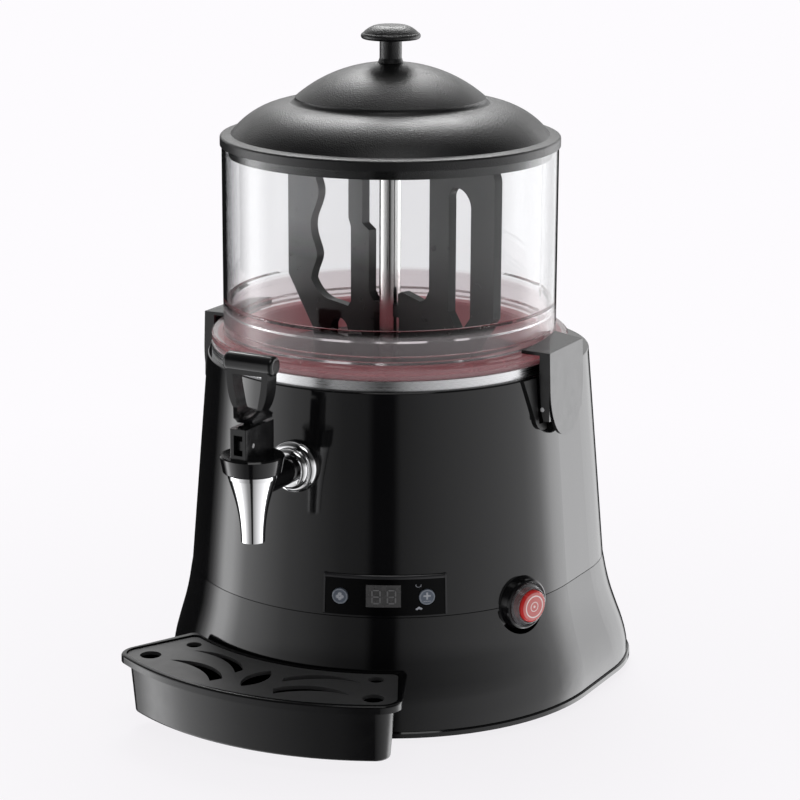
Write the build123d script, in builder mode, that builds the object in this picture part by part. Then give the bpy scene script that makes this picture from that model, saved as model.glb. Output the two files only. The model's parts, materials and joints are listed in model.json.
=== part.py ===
"""Heated drink dispenser: clear bowl with agitator on a black moulded body, lever tap and drip tray.

Frame: millimetres, +Z up, front is -Y, origin on the counter on the bowl's axis.
"""
import os
from math import cos, radians, sin, sqrt

from build123d import *

# ---------------------------------------------------------------- driving dimensions
TOTAL_HEIGHT = 465.0        # counter to the top of the lid knob

FOOT_HEIGHT = 5.0
BASE_R = 156.0              # body outline: front radius at the bottom
BASE_BACK = 158.0           # body outline: distance from the axis to the back
SEAM_Z = 85.0               # split between the lower skirt and the upper housing
SEAM_R = 141.0
SEAM_BACK = 144.0
TOP_Z = 237.0               # top of the upper housing
TOP_R = 128.5
TOP_BACK = 139.0
CORNER_R = 105.0            # rear corner radius of the body outline
WALL = 2.6                  # moulded wall

BAND_R = 125.4              # stainless band and bowl flange
BAND_TOP = 244.0
FLANGE_TOP = 252.0
BOWL_R = 117.0
BOWL_WALL = 2.6
BOWL_TOP = 383.2
RIDGE_Z = 273.0             # top of the thick lower part of the bowl wall

RIM_R = 118.2               # lid
RIM_TOP = 390.0
CREASE_R = 67.5
CREASE_Z = 412.4
APEX_Z = 439.6
KNOB_Z = 455.8
KNOB_R = 20.6
KNOB_TOP_R = 10.5           # flat facet on top of the knob
STEM_R = 7.7

TUBE_R = 7.5                # standpipe that carries the drive shaft
SHAFT_R = 4.0
PADDLE_HALF = 105.0
PADDLE_T = 7.0
PADDLE_REST = -18.5         # direction of the paddle at rest, degrees from +X

TAP_Z = 183.8               # height of the tap's barrel
TAP_Y = -188.0              # axis of the tap's spout
TAP_OUTLET_Z = 146.4
LEVER_PIVOT_Y = -197.0
LEVER_PIVOT_Z = 214.0

PANEL_FROM = 10.3           # control panel, degrees from the front towards +X
PANEL_ARC = 33.9
PANEL_LOW = 86.6
PANEL_HIGH = 114.0
SWITCH_ANGLE = 68.4         # power switch, degrees from the front towards +X

TRAY_BOTTOM = 10.0
TRAY_RIM_Z = 46.0
TRAY_TOP = 51.4
GRID_T = 2.5

LATCH_PIVOT_X = 132.0
LATCH_PIVOT_Z = 215.0
RUN = 0.05                  # radial clearance of a running pin


def save(part, label):
    """Label one finished sub-part and write its STEP file."""
    part.label = label
    os.makedirs("parts", exist_ok=True)
    export_step(part, f"parts/{label}.step")


def outline(radius, back, inset=0.0):
    """Body outline in plan: half circle in front, straight flanks, two rounded rear corners."""
    r = radius - inset
    rear = back - inset
    corner = CORNER_R - inset
    y_c = rear - corner
    x_c = r - corner
    k = corner * sqrt(0.5)
    RadiusArc((-r, 0), (r, 0), -r)
    Line((r, 0), (r, y_c))
    ThreePointArc((r, y_c), (x_c + k, y_c + k), (x_c, rear))
    Line((x_c, rear), (-x_c, rear))
    ThreePointArc((-x_c, rear), (-x_c - k, y_c + k), (-r, y_c))
    Line((-r, y_c), (-r, 0))


def body_loft(levels, inset=0.0, mode=Mode.ADD, ruled=False):
    """Loft the body outline through (z, radius, back) levels."""
    sections = []
    for z, radius, back in levels:
        with BuildSketch(Plane.XY.offset(z)) as level:
            with BuildLine():
                outline(radius, back, inset)
            make_face()
        sections.append(level.sketch)
    loft(sections, ruled=ruled, mode=mode)


def wall_radius(z):
    """Front radius of the straight upper housing at height z."""
    return SEAM_R + (TOP_R - SEAM_R) * (z - SEAM_Z) / (TOP_Z - SEAM_Z)


def radial_plane(degrees):
    """Plane that holds the Z axis, its x pointing out at an angle from the front."""
    a = radians(degrees - 90)
    return Plane((0, 0, 0), x_dir=(cos(a), sin(a), 0), z_dir=(sin(a), -cos(a), 0))


def face_plane(degrees, radius, z):
    """Plane tangent to a round wall, its normal pointing out."""
    a = radians(degrees - 90)
    origin = (radius * cos(a), radius * sin(a), z)
    return Plane(origin, x_dir=(-sin(a), cos(a), 0), z_dir=(cos(a), sin(a), 0))


def ring(r_in, r_out, z_low, z_high):
    """Rectangle in the XZ section plane, for a revolved ring."""
    with Locations(((r_in + r_out) / 2, (z_low + z_high) / 2)):
        Rectangle(r_out - r_in, z_high - z_low)


def section(points):
    """Closed straight-sided face in the open sketch."""
    with BuildLine() as border:
        Polyline(points, close=True)
    make_face(border.edges())


SKIRT_LEVELS = [(9.0, BASE_R, BASE_BACK), (26.0, 154.6, 155.0), (38.0, 151.6, 152.0),
                (53.0, 147.2, 148.6), (68.0, 143.8, 146.0), (SEAM_Z - 0.5, SEAM_R, SEAM_BACK)]
HOUSING_LEVELS = [(SEAM_Z, SEAM_R, SEAM_BACK), (TOP_Z, TOP_R, TOP_BACK)]

SWITCH_PLANE = face_plane(SWITCH_ANGLE, SEAM_R, SEAM_Z)
SWITCH_HOLE_R = 15.6
SWITCH_RECESS_R = 21.5

# ---------------------------------------------------------------- base, feet and skirt
FOOT_SPOTS = [(-92, -92), (92, -92), (-92, 92), (92, 92)]
FOOT_R = 12.0
PLATE_LOW = FOOT_HEIGHT
PLATE_HIGH = 9.0
FOOT_SCREW_R = 2.0

with BuildPart() as base_plate:
    with BuildSketch(Plane.XY.offset(PLATE_LOW)):
        with BuildLine():
            outline(BASE_R + 1.4, BASE_BACK + 1.4)
        make_face()
    extrude(amount=PLATE_HIGH - PLATE_LOW)
    chamfer(base_plate.edges().group_by(Axis.Z)[-1], 0.9)
    with BuildSketch(Plane.XY.offset(PLATE_LOW)):
        with BuildLine():
            outline(BASE_R - 6, BASE_BACK - 6)
        make_face()
        with Locations(*FOOT_SPOTS):
            Circle(8, mode=Mode.SUBTRACT)
    extrude(amount=2.0, mode=Mode.SUBTRACT)
    with Locations(*[(x, y, PLATE_HIGH) for x, y in FOOT_SPOTS]):
        Hole(FOOT_SCREW_R)
    with BuildSketch(Plane.XY.offset(PLATE_LOW)):
        with GridLocations(14, 60, 7, 2):
            SlotOverall(30, 5, rotation=90)
    extrude(amount=PLATE_HIGH, mode=Mode.SUBTRACT)

with BuildPart() as feet:
    with Locations(*[(x, y, 0) for x, y in FOOT_SPOTS]):
        Cone(FOOT_R - 1.5, FOOT_R, FOOT_HEIGHT, align=(Align.CENTER, Align.CENTER, Align.MIN))
        Cylinder(FOOT_SCREW_R, FOOT_HEIGHT, align=(Align.CENTER, Align.CENTER, Align.MIN),
                 mode=Mode.SUBTRACT)
        Cylinder(5, 2.6, align=(Align.CENTER, Align.CENTER, Align.MIN), mode=Mode.SUBTRACT)

with BuildPart() as foot_screws:
    with Locations(*[(x, y, 0) for x, y in FOOT_SPOTS]):
        with Locations((0, 0, 0.8)):
            Cylinder(4, 1.8, align=(Align.CENTER, Align.CENTER, Align.MIN))
        with Locations((0, 0, 2.6)):
            Cylinder(FOOT_SCREW_R, 11, align=(Align.CENTER, Align.CENTER, Align.MIN))
        with Locations((0, 0, 0.8)):
            Box(5, 0.9, 1.6, mode=Mode.SUBTRACT)

TONGUE_W = 60.0
TONGUE_Z = 13.0
TONGUE_T = 3.0
INLET_Z = 30.0
DRAIN_X = 42.0

with BuildPart() as lower_skirt:
    body_loft(SKIRT_LEVELS)
    body_loft(SKIRT_LEVELS, inset=WALL, mode=Mode.SUBTRACT)
    with Locations((0, -BASE_R, TONGUE_Z + TONGUE_T / 2)):
        Box(TONGUE_W + 1.6, 14, TONGUE_T + 1.6, mode=Mode.SUBTRACT)
    with BuildSketch(SWITCH_PLANE.offset(-12)):
        Circle(SWITCH_HOLE_R)
    extrude(amount=30, mode=Mode.SUBTRACT)
    with BuildSketch(SWITCH_PLANE.offset(-1.2)):
        Circle(SWITCH_RECESS_R)
    extrude(amount=12, mode=Mode.SUBTRACT)
    with Locations(Location((0, BASE_BACK, INLET_Z), (90, 0, 0))):
        Cylinder(8, 40, mode=Mode.SUBTRACT)
    with Locations(Location((DRAIN_X, BASE_BACK, INLET_Z), (90, 0, 0))):
        Cylinder(7, 40, mode=Mode.SUBTRACT)

# ---------------------------------------------------------------- upper housing
HOUSING_BORE_R = 118.0
VENT_Z = 120.0
VENT_PITCH = 9.0
BARREL_HOLE_R = 9.6

with BuildPart() as upper_housing:
    body_loft(HOUSING_LEVELS, ruled=True)
    fillet(upper_housing.edges().group_by(Axis.Z)[-1], 1.2)
    body_loft([(SEAM_Z - 1, SEAM_R, SEAM_BACK), (TOP_Z - WALL, TOP_R, TOP_BACK)],
              inset=WALL, mode=Mode.SUBTRACT, ruled=True)
    with Locations((0, 0, TOP_Z)):
        Cylinder(HOUSING_BORE_R, 20, mode=Mode.SUBTRACT)
    with Locations(Location((0, -SEAM_R, TAP_Z), (90, 0, 0))):
        Cylinder(BARREL_HOLE_R, 60, mode=Mode.SUBTRACT)
    with BuildSketch(radial_plane(PANEL_FROM + 2)):
        with Locations((SEAM_R, (PANEL_LOW + PANEL_HIGH) / 2)):
            Rectangle(30, PANEL_HIGH - PANEL_LOW - 6)
    revolve(axis=Axis.Z, revolution_arc=PANEL_ARC - 4, mode=Mode.SUBTRACT)
    with BuildSketch(SWITCH_PLANE.offset(-12)):
        Circle(SWITCH_HOLE_R)
    extrude(amount=30, mode=Mode.SUBTRACT)
    with BuildSketch(SWITCH_PLANE.offset(-1.2)):
        Circle(SWITCH_RECESS_R)
    extrude(amount=12, mode=Mode.SUBTRACT)
    with BuildSketch(Plane((0, SEAM_BACK + 10, VENT_Z), x_dir=(-1, 0, 0), z_dir=(0, 1, 0))):
        with GridLocations(0, VENT_PITCH, 1, 7):
            SlotOverall(52, 4)
    extrude(amount=-30, mode=Mode.SUBTRACT)

SEAM_LIP = 8.0
with BuildPart() as seam_ring:
    body_loft([(SEAM_Z - SEAM_LIP, SEAM_R, SEAM_BACK), (SEAM_Z + SEAM_LIP, SEAM_R - 1.4, SEAM_BACK - 1.2)],
              inset=WALL + 0.6, ruled=True)
    body_loft([(SEAM_Z - SEAM_LIP, SEAM_R, SEAM_BACK), (SEAM_Z + SEAM_LIP, SEAM_R - 1.4, SEAM_BACK - 1.2)],
              inset=WALL + 2.6, mode=Mode.SUBTRACT, ruled=True)
    with BuildSketch(SWITCH_PLANE.offset(-20)):
        Circle(SWITCH_HOLE_R)
    extrude(amount=40, mode=Mode.SUBTRACT)
    with BuildSketch(radial_plane(PANEL_FROM)):
        with Locations((SEAM_R, (PANEL_LOW + PANEL_HIGH) / 2)):
            Rectangle(40, PANEL_HIGH - PANEL_LOW)
    revolve(axis=Axis.Z, revolution_arc=PANEL_ARC, mode=Mode.SUBTRACT)

# ---------------------------------------------------------------- product pan and heating
PAN_R = 106.0
PAN_FLOOR = 170.0
SHEET = 1.2
OUTLET_R = 9.0

with BuildPart() as product_pan:
    with BuildSketch(Plane.XZ):
        with BuildLine():
            Polyline((BAND_R, TOP_Z), (BAND_R, BAND_TOP), (PAN_R - SHEET, BAND_TOP),
                     (PAN_R - 8, PAN_FLOOR + 14))
            RadiusArc((PAN_R - 8, PAN_FLOOR + 14), (PAN_R - 21, PAN_FLOOR + 1.2), 13)
            Polyline((PAN_R - 21, PAN_FLOOR + 1.2), (TUBE_R, PAN_FLOOR + 1.2), (TUBE_R, PAN_FLOOR),
                     (PAN_R - 21, PAN_FLOOR))
            RadiusArc((PAN_R - 21, PAN_FLOOR), (PAN_R - 6.8, PAN_FLOOR + 14), -14.2)
            Polyline((PAN_R - 6.8, PAN_FLOOR + 14), (PAN_R, BAND_TOP - SHEET),
                     (BAND_R - SHEET, BAND_TOP - SHEET), (BAND_R - SHEET, TOP_Z), (BAND_R, TOP_Z))
        make_face()
    revolve(axis=Axis.Z)
    with Locations(Location((0, -PAN_R, TAP_Z), (90, 0, 0))):
        Cylinder(OUTLET_R, 40, mode=Mode.SUBTRACT)

with BuildPart() as standpipe:
    with BuildSketch(Plane.XZ):
        ring(SHAFT_R + 1.2, TUBE_R, PAN_FLOOR, 384)
    revolve(axis=Axis.Z)

with BuildPart() as shaft_bushes:
    for low in (PAN_FLOOR, 374):
        with BuildSketch(Plane.XZ):
            ring(SHAFT_R + RUN, SHAFT_R + 1.2, low, low + 10)
        revolve(axis=Axis.Z)

TANK_R = 113.0
TANK_FLOOR = 132.0
COIL_R = 62.0
COIL_Z = 148.0
COIL_ROD_R = 4.0
LEG_R = 3.2

with BuildPart() as water_tank:
    with BuildSketch(Plane.XZ):
        section([(TANK_R, TOP_Z + 1), (TANK_R - SHEET, TOP_Z + 1), (TANK_R - SHEET, TANK_FLOOR + SHEET),
                 (TUBE_R + 6, TANK_FLOOR + SHEET), (TUBE_R + 6, TANK_FLOOR), (TANK_R, TANK_FLOOR)])
    revolve(axis=Axis.Z)
    with Locations(Location((0, -TANK_R, TAP_Z), (90, 0, 0))):
        Cylinder(OUTLET_R, 40, mode=Mode.SUBTRACT)
    with Locations((COIL_R, 0, TANK_FLOOR), (-COIL_R, 0, TANK_FLOOR)):
        Cylinder(LEG_R, 10, mode=Mode.SUBTRACT)

with BuildPart() as heating_element:
    with Locations((0, 0, COIL_Z)):
        Torus(COIL_R, COIL_ROD_R)
    with Locations((COIL_R, 0, TANK_FLOOR - 8), (-COIL_R, 0, TANK_FLOOR - 8)):
        Cylinder(LEG_R, COIL_Z - TANK_FLOOR + 8, align=(Align.CENTER, Align.CENTER, Align.MIN))

with BuildPart() as tank_bush:
    with BuildSketch(Plane.XZ):
        section([(TUBE_R, TANK_FLOOR - 4), (TUBE_R + 9, TANK_FLOOR - 4), (TUBE_R + 9, TANK_FLOOR),
                 (TUBE_R + 6, TANK_FLOOR), (TUBE_R + 6, TANK_FLOOR + 6), (TUBE_R, TANK_FLOOR + 6)])
        ring(TUBE_R, TUBE_R + 3, TANK_FLOOR + 6, PAN_FLOOR)
    revolve(axis=Axis.Z)

with BuildPart() as thermostat:
    with Locations((0, 72, TANK_FLOOR)):
        Cylinder(9, 8, align=(Align.CENTER, Align.CENTER, Align.MAX))
    with Locations((-4, 72, TANK_FLOOR - 8), (4, 72, TANK_FLOOR - 8)):
        Box(1, 5, 7, align=(Align.CENTER, Align.CENTER, Align.MAX))

# ---------------------------------------------------------------- bowl and seal
GASKET_LOW = BAND_TOP
SEAL_IN = 99.8              # gasket lip inside the pan's mouth
SEAL_OUT = 112.6            # inside of the bowl's foot
with BuildPart() as bowl:
    with BuildSketch(Plane.XZ):
        with BuildLine():
            Polyline((BOWL_R, BOWL_TOP), (BOWL_R, FLANGE_TOP + 1.2))
            RadiusArc((BOWL_R, FLANGE_TOP + 1.2), (BOWL_R + 1.2, FLANGE_TOP), -1.2)
            Polyline((BOWL_R + 1.2, FLANGE_TOP), (BAND_R - 1, FLANGE_TOP), (BAND_R, FLANGE_TOP - 1),
                     (BAND_R, BAND_TOP + 3.4), (BAND_R - 1, BAND_TOP + 3.4), (BAND_R - 1, BAND_TOP + 0.2),
                     (BAND_R - 4, BAND_TOP + 0.2), (BAND_R - 4, BAND_TOP + 2.6),
                     (SEAL_OUT, BAND_TOP + 2.6), (SEAL_OUT, FLANGE_TOP), (SEAL_OUT - 2, FLANGE_TOP + 1.4),
                     (SEAL_OUT - 2, RIDGE_Z - 16), (SEAL_OUT, RIDGE_Z - 14.6), (SEAL_OUT, RIDGE_Z - 6),
                     (SEAL_OUT - 1.6, RIDGE_Z - 4.8), (SEAL_OUT - 1.6, RIDGE_Z),
                     (SEAL_OUT - 0.6, RIDGE_Z + 2.2), (BOWL_R - BOWL_WALL, RIDGE_Z + 3.2),
                     (BOWL_R - BOWL_WALL, BOWL_TOP), (BOWL_R, BOWL_TOP))
        make_face()
    revolve(axis=Axis.Z)

with BuildPart() as bowl_gasket:
    with BuildSketch(Plane.XZ):
        section([(PAN_R, GASKET_LOW), (BAND_R - 4.4, GASKET_LOW), (BAND_R - 4.4, GASKET_LOW + 2.6),
                 (SEAL_OUT - 0.4, GASKET_LOW + 2.6), (SEAL_OUT - 0.4, GASKET_LOW + 6.4),
                 (SEAL_OUT - 2.6, GASKET_LOW + 8), (SEAL_IN + 1.8, GASKET_LOW + 8),
                 (SEAL_IN, GASKET_LOW + 6.4), (SEAL_IN, GASKET_LOW - 12), (SEAL_IN + 1.6, GASKET_LOW - 13),
                 (SEAL_IN + 3.2, GASKET_LOW - 13), (PAN_R - SHEET - 0.1, GASKET_LOW)])
    revolve(axis=Axis.Z)

# ---------------------------------------------------------------- lid
LID_T = 2.6
SKIRT_OUT = 112.2
with BuildPart() as lid:
    with BuildSketch(Plane.XZ):
        with BuildLine():
            Polyline((STEM_R - 2, APEX_Z), (STEM_R + 4, APEX_Z - 0.6))
            ThreePointArc((STEM_R + 4, APEX_Z - 0.6), (44, APEX_Z - 9.6), (CREASE_R - 1.6, CREASE_Z + 3.4))
            ThreePointArc((CREASE_R - 1.6, CREASE_Z + 3.4), (CREASE_R - 0.2, CREASE_Z + 0.6),
                          (CREASE_R + 3, CREASE_Z - 0.3))
            ThreePointArc((CREASE_R + 3, CREASE_Z - 0.3), (94, RIM_TOP + 15.2), (110.6, RIM_TOP + 0.9))
            Line((110.6, RIM_TOP + 0.9), (RIM_R - 1.6, RIM_TOP))
            ThreePointArc((RIM_R - 1.6, RIM_TOP), (RIM_R - 0.45, RIM_TOP - 0.5), (RIM_R, RIM_TOP - 1.8))
            Polyline((RIM_R, RIM_TOP - 1.8), (RIM_R, BOWL_TOP + 0.2), (SKIRT_OUT, BOWL_TOP + 0.2),
                     (SKIRT_OUT, 376.8), (SKIRT_OUT - 2, 376.8), (SKIRT_OUT - 3.6, RIM_TOP - 2))
            ThreePointArc((SKIRT_OUT - 3.6, RIM_TOP - 2), (92, RIM_TOP + 12.4), (CREASE_R + 2, CREASE_Z - 3))
            ThreePointArc((CREASE_R + 2, CREASE_Z - 3), (42, APEX_Z - 12.4),
                          (STEM_R - 2, APEX_Z - LID_T - 0.6))
            Line((STEM_R - 2, APEX_Z - LID_T - 0.6), (STEM_R - 2, APEX_Z))
        make_face()
    revolve(axis=Axis.Z)
    with BuildSketch(Plane.XY.offset(APEX_Z - LID_T - 0.6)):
        Circle(STEM_R - 2)
        Circle(2.2, mode=Mode.SUBTRACT)
    extrude(amount=LID_T + 0.6)

with BuildPart() as lid_knob:
    with BuildSketch(Plane.XZ):
        with BuildLine():
            Polyline((2.2, APEX_Z), (STEM_R + 1.2, APEX_Z), (STEM_R, APEX_Z + 3), (STEM_R, KNOB_Z - 1.5),
                     (STEM_R + 1.5, KNOB_Z), (KNOB_R - 1.6, KNOB_Z))
            ThreePointArc((KNOB_R - 1.6, KNOB_Z), (KNOB_R, KNOB_Z + 1.9), (KNOB_R - 1.4, KNOB_Z + 4))
            ThreePointArc((KNOB_R - 1.4, KNOB_Z + 4), (KNOB_R - 5, KNOB_Z + 7),
                          (KNOB_TOP_R, TOTAL_HEIGHT))
            Polyline((KNOB_TOP_R, TOTAL_HEIGHT), (0, TOTAL_HEIGHT), (0, KNOB_Z + 2), (2.2, KNOB_Z + 2),
                     (2.2, APEX_Z))
        make_face()
    revolve(axis=Axis.Z)

with BuildPart() as knob_screw:
    with BuildSketch(Plane.XZ):
        section([(0, APEX_Z - 6.4), (4, APEX_Z - 6.4), (4, APEX_Z - 4.4), (5.5, APEX_Z - 4.4),
                 (5.5, APEX_Z - 3.2), (2.2, APEX_Z - 3.2), (2.2, KNOB_Z + 1), (0, KNOB_Z + 1)])
    revolve(axis=Axis.Z)
    with Locations((0, 0, APEX_Z - 6.4)):
        Box(6, 1, 2, mode=Mode.SUBTRACT)

# ---------------------------------------------------------------- agitator, in its own plane
PADDLE_PLANE = Plane((0, 0, 0), x_dir=(cos(radians(PADDLE_REST)), sin(radians(PADDLE_REST)), 0),
                     z_dir=(sin(radians(PADDLE_REST)), -cos(radians(PADDLE_REST)), 0))
PADDLE_TOP = 381.0
BLADE_LOW = 184.0
WEB_LOW = 236.0
WEB_GAP_TOP = 262.0         # top of the gap that clears the pan's middle
HUB_TOP = 400.0

with BuildPart() as agitator:
    with BuildSketch(PADDLE_PLANE.offset(-PADDLE_T / 2)):
        with BuildLine():
            Polyline((-78, BLADE_LOW + 14), (-66, BLADE_LOW), (66, BLADE_LOW), (78, BLADE_LOW + 14),
                     (78, WEB_LOW + 4), (PADDLE_HALF, 276), (PADDLE_HALF, PADDLE_TOP - 14))
            ThreePointArc((PADDLE_HALF, PADDLE_TOP - 14), (PADDLE_HALF - 2.6, PADDLE_TOP - 5),
                          (PADDLE_HALF - 11, PADDLE_TOP))
            Polyline((PADDLE_HALF - 11, PADDLE_TOP), (24, PADDLE_TOP + 4), (14, HUB_TOP - 3),
                     (-14, HUB_TOP - 3), (-24, PADDLE_TOP + 4), (-PADDLE_HALF + 11, PADDLE_TOP))
            ThreePointArc((-PADDLE_HALF + 11, PADDLE_TOP), (-PADDLE_HALF + 2.6, PADDLE_TOP - 5),
                          (-PADDLE_HALF, PADDLE_TOP - 14))
            Polyline((-PADDLE_HALF, PADDLE_TOP - 14), (-PADDLE_HALF, 276), (-78, WEB_LOW + 4),
                     (-78, BLADE_LOW + 14))
        make_face()
        # window round the tube, then the long slot in the right wing
        with BuildLine():
            Polyline((-25, 372), (-25, 324), (-18, 320), (-18, 276), (-13, 270), (12, 271), (12, 279),
                     (16, 281), (34, 277), (39, 279), (43, 286), (43, 372), close=True)
        make_face(mode=Mode.SUBTRACT)
        with BuildLine():
            Polyline((62, 352), (62, 274), (70, 263.5), (75, 263.5), (83, 273), (83, 350))
            ThreePointArc((83, 350), (80, 356.5), (70, 361.5))
            ThreePointArc((70, 361.5), (64, 359), (62, 352))
        make_face(mode=Mode.SUBTRACT)
        # left wing: window with a scalloped outer edge
        with BuildLine():
            Line((-39.6, 372), (-76, 372))
            Spline((-76, 372), (-78, 356), (-71.6, 342), (-75.4, 329), (-80, 318), (-78, 306),
                   (-73.4, 294), (-77, 284.5), (-80, 276))
            Spline((-80, 276), (-70, 266.5), (-56, 263.4))
            Polyline((-56, 263.4), (-40, 262), (-37, 266), (-37, 320), (-39.6, 326), (-39.6, 372))
        make_face(mode=Mode.SUBTRACT)
        # feed arch in the web and two openings in the lower blade
        with BuildLine():
            Polyline((-58, 240), (-40, 240), (-40, 244))
            ThreePointArc((-40, 244), (-48, 252), (-58, 246))
            Line((-58, 246), (-58, 240))
        make_face(mode=Mode.SUBTRACT)
        with Locations((-45, 210), (45, 210)):
            SlotOverall(40, 26, mode=Mode.SUBTRACT)
        with Locations((0, (BLADE_LOW + WEB_GAP_TOP) / 2 - 1)):
            Rectangle(26, WEB_GAP_TOP - BLADE_LOW + 2, mode=Mode.SUBTRACT)
    extrude(amount=PADDLE_T)
    with BuildSketch(Plane.XY.offset(HUB_TOP - 14)):
        Circle(12)
    extrude(amount=14)
    with Locations((0, 0, BLADE_LOW - 10)):
        Cylinder(TUBE_R + 0.4, 212, align=(Align.CENTER, Align.CENTER, Align.MIN), mode=Mode.SUBTRACT)
    with Locations((0, 0, 380)):
        Cylinder(SHAFT_R, 30, align=(Align.CENTER, Align.CENTER, Align.MIN), mode=Mode.SUBTRACT)

MOTOR_TOP = 112.0
with BuildPart() as drive_shaft:
    with BuildSketch(Plane.XY.offset(MOTOR_TOP + 2)):
        Circle(SHAFT_R)
    extrude(amount=HUB_TOP - MOTOR_TOP - 2)

with BuildPart() as drive_coupling:
    with BuildSketch(Plane.XY.offset(MOTOR_TOP + 1)):
        Circle(9)
        Circle(SHAFT_R, mode=Mode.SUBTRACT)
    extrude(amount=12)
    with Locations(Location((7, 0, MOTOR_TOP + 7), (0, 90, 0))):
        Cylinder(1.5, 10, mode=Mode.SUBTRACT)

# ---------------------------------------------------------------- gearmotor and electrics
with BuildPart() as gearmotor:
    with BuildSketch(Plane.XY.offset(MOTOR_TOP - 34)):
        RectangleRounded(64, 74, 8)
    extrude(amount=34)
    with BuildSketch(Plane.XY.offset(MOTOR_TOP - 80)):
        with Locations((0, 12)):
            Circle(24)
    extrude(amount=46)
    fillet(gearmotor.edges().group_by(Axis.Z)[0], 2)

with BuildPart() as motor_bracket:
    with BuildSketch(Plane.YZ.offset(-42)):
        with BuildLine():
            Polyline((-44, MOTOR_TOP), (44, MOTOR_TOP), (44, MOTOR_TOP + 2), (-44, MOTOR_TOP + 2), close=True)
        make_face()
    extrude(amount=84)
    with Locations((-41, 0, MOTOR_TOP / 2 + PLATE_HIGH / 2), (41, 0, MOTOR_TOP / 2 + PLATE_HIGH / 2)):
        Box(2, 88, MOTOR_TOP - PLATE_HIGH)
    with Locations((-50, 0, PLATE_HIGH + 1), (50, 0, PLATE_HIGH + 1)):
        Box(20, 88, 2)
    with Locations((0, 0, MOTOR_TOP)):
        Cylinder(10, 10, mode=Mode.SUBTRACT)

with BuildPart() as bracket_screws:
    with Locations(*[(x, y, PLATE_HIGH + 2) for x in (-53, 53) for y in (-34, 34)]):
        Cylinder(3.4, 2.4, align=(Align.CENTER, Align.CENTER, Align.MIN))

with BuildPart() as tank_posts:
    for turn in (45, 135, 225, 315):
        a = radians(turn)
        with BuildSketch(Plane((88 * cos(a), 88 * sin(a), PLATE_HIGH), z_dir=(0, 0, 1))):
            Circle(5)
        extrude(amount=TANK_FLOOR - PLATE_HIGH)

with BuildPart() as power_board:
    with Locations((-96, 20, PLATE_HIGH + 6)):
        Box(44, 70, 1.6)
    with Locations((-104, 0, PLATE_HIGH + 14.8), (-88, 34, PLATE_HIGH + 12.8)):
        Box(16, 20, 16)
    with Locations((-88, 0, PLATE_HIGH + 2.6), (-104, 40, PLATE_HIGH + 2.6)):
        Cylinder(3, 5.2)

with BuildPart() as terminal_block:
    with Locations((70, 104, PLATE_HIGH + 6)):
        Box(40, 16, 12)
    with Locations(*[(54 + 8 * i, 104, PLATE_HIGH + 12) for i in range(5)]):
        Cylinder(2.6, 5, mode=Mode.SUBTRACT)

# ---------------------------------------------------------------- control panel
def panel_band(inner, outer, low, high, start, arc, mode=Mode.ADD):
    """Curved slab on the housing wall; inner and outer are heights over the wall's surface."""
    with BuildSketch(radial_plane(start)) as band:
        section([(wall_radius(low) + inner, low), (wall_radius(low) + outer, low),
                 (wall_radius(high) + outer, high), (wall_radius(high) + inner, high)])
    revolve(band.sketch, axis=Axis.Z, revolution_arc=arc, mode=mode)


BUTTON_Z = 99.2
BUTTON_R = 5.5
BUTTON_ANGLES = {"button_set": 14.9, "button_plus": 38.7}
WINDOW_FROM = 22.0
WINDOW_ARC = 9.6
WINDOW_LOW = 92.3
WINDOW_HIGH = 107.6
LAMP_R = 1.6
LAMP_SPOTS = [(36.5, 107.0), (36.7, 91.4)]

with BuildPart() as panel_fascia:
    panel_band(0.02, 1.3, PANEL_LOW, PANEL_HIGH, PANEL_FROM, PANEL_ARC)
    panel_band(-2, 3, WINDOW_LOW, WINDOW_HIGH, WINDOW_FROM, WINDOW_ARC, Mode.SUBTRACT)
    for angle in BUTTON_ANGLES.values():
        with BuildSketch(face_plane(angle, wall_radius(BUTTON_Z) - 8, BUTTON_Z)):
            Circle(BUTTON_R + 0.3)
        extrude(amount=16, mode=Mode.SUBTRACT)
    for angle, z in LAMP_SPOTS:
        with BuildSketch(face_plane(angle, wall_radius(z) - 8, z)):
            Circle(LAMP_R)
        extrude(amount=16, mode=Mode.SUBTRACT)

with BuildPart() as display_window:
    panel_band(0.1, 1.1, WINDOW_LOW, WINDOW_HIGH, WINDOW_FROM, WINDOW_ARC)

with BuildPart() as status_lamps:
    for angle, z in LAMP_SPOTS:
        with BuildSketch(face_plane(angle, wall_radius(z) - 2.4, z)):
            Circle(LAMP_R)
        extrude(amount=3.6)

BOARD_PLANE = face_plane(PANEL_FROM + PANEL_ARC / 2, wall_radius(BUTTON_Z) - 17, BUTTON_Z)
with BuildPart() as control_board:
    with BuildSketch(BOARD_PLANE):
        RectangleRounded(72, 22, 1.5)
    extrude(amount=-1.6)
    with BuildSketch(BOARD_PLANE):
        Rectangle(22, 14)
    extrude(amount=9)
    with BuildSketch(BOARD_PLANE.offset(-1.6)):
        with Locations((-20, 3)):
            Rectangle(12, 10)
    extrude(amount=-4)


def press_button(angle):
    """One push button of the control panel."""
    with BuildPart() as button:
        with BuildSketch(face_plane(angle, wall_radius(BUTTON_Z) - 1.6, BUTTON_Z)):
            Circle(BUTTON_R)
        extrude(amount=3.4)
        with BuildSketch(face_plane(angle, wall_radius(BUTTON_Z) + 1.8, BUTTON_Z)):
            Circle(BUTTON_R - 0.5)
        extrude(amount=0.4)
    return button.part


# ---------------------------------------------------------------- power switch
BEZEL_R = 18.6
CAP_R = 11.0
CAP_OUT = 12.0

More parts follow.
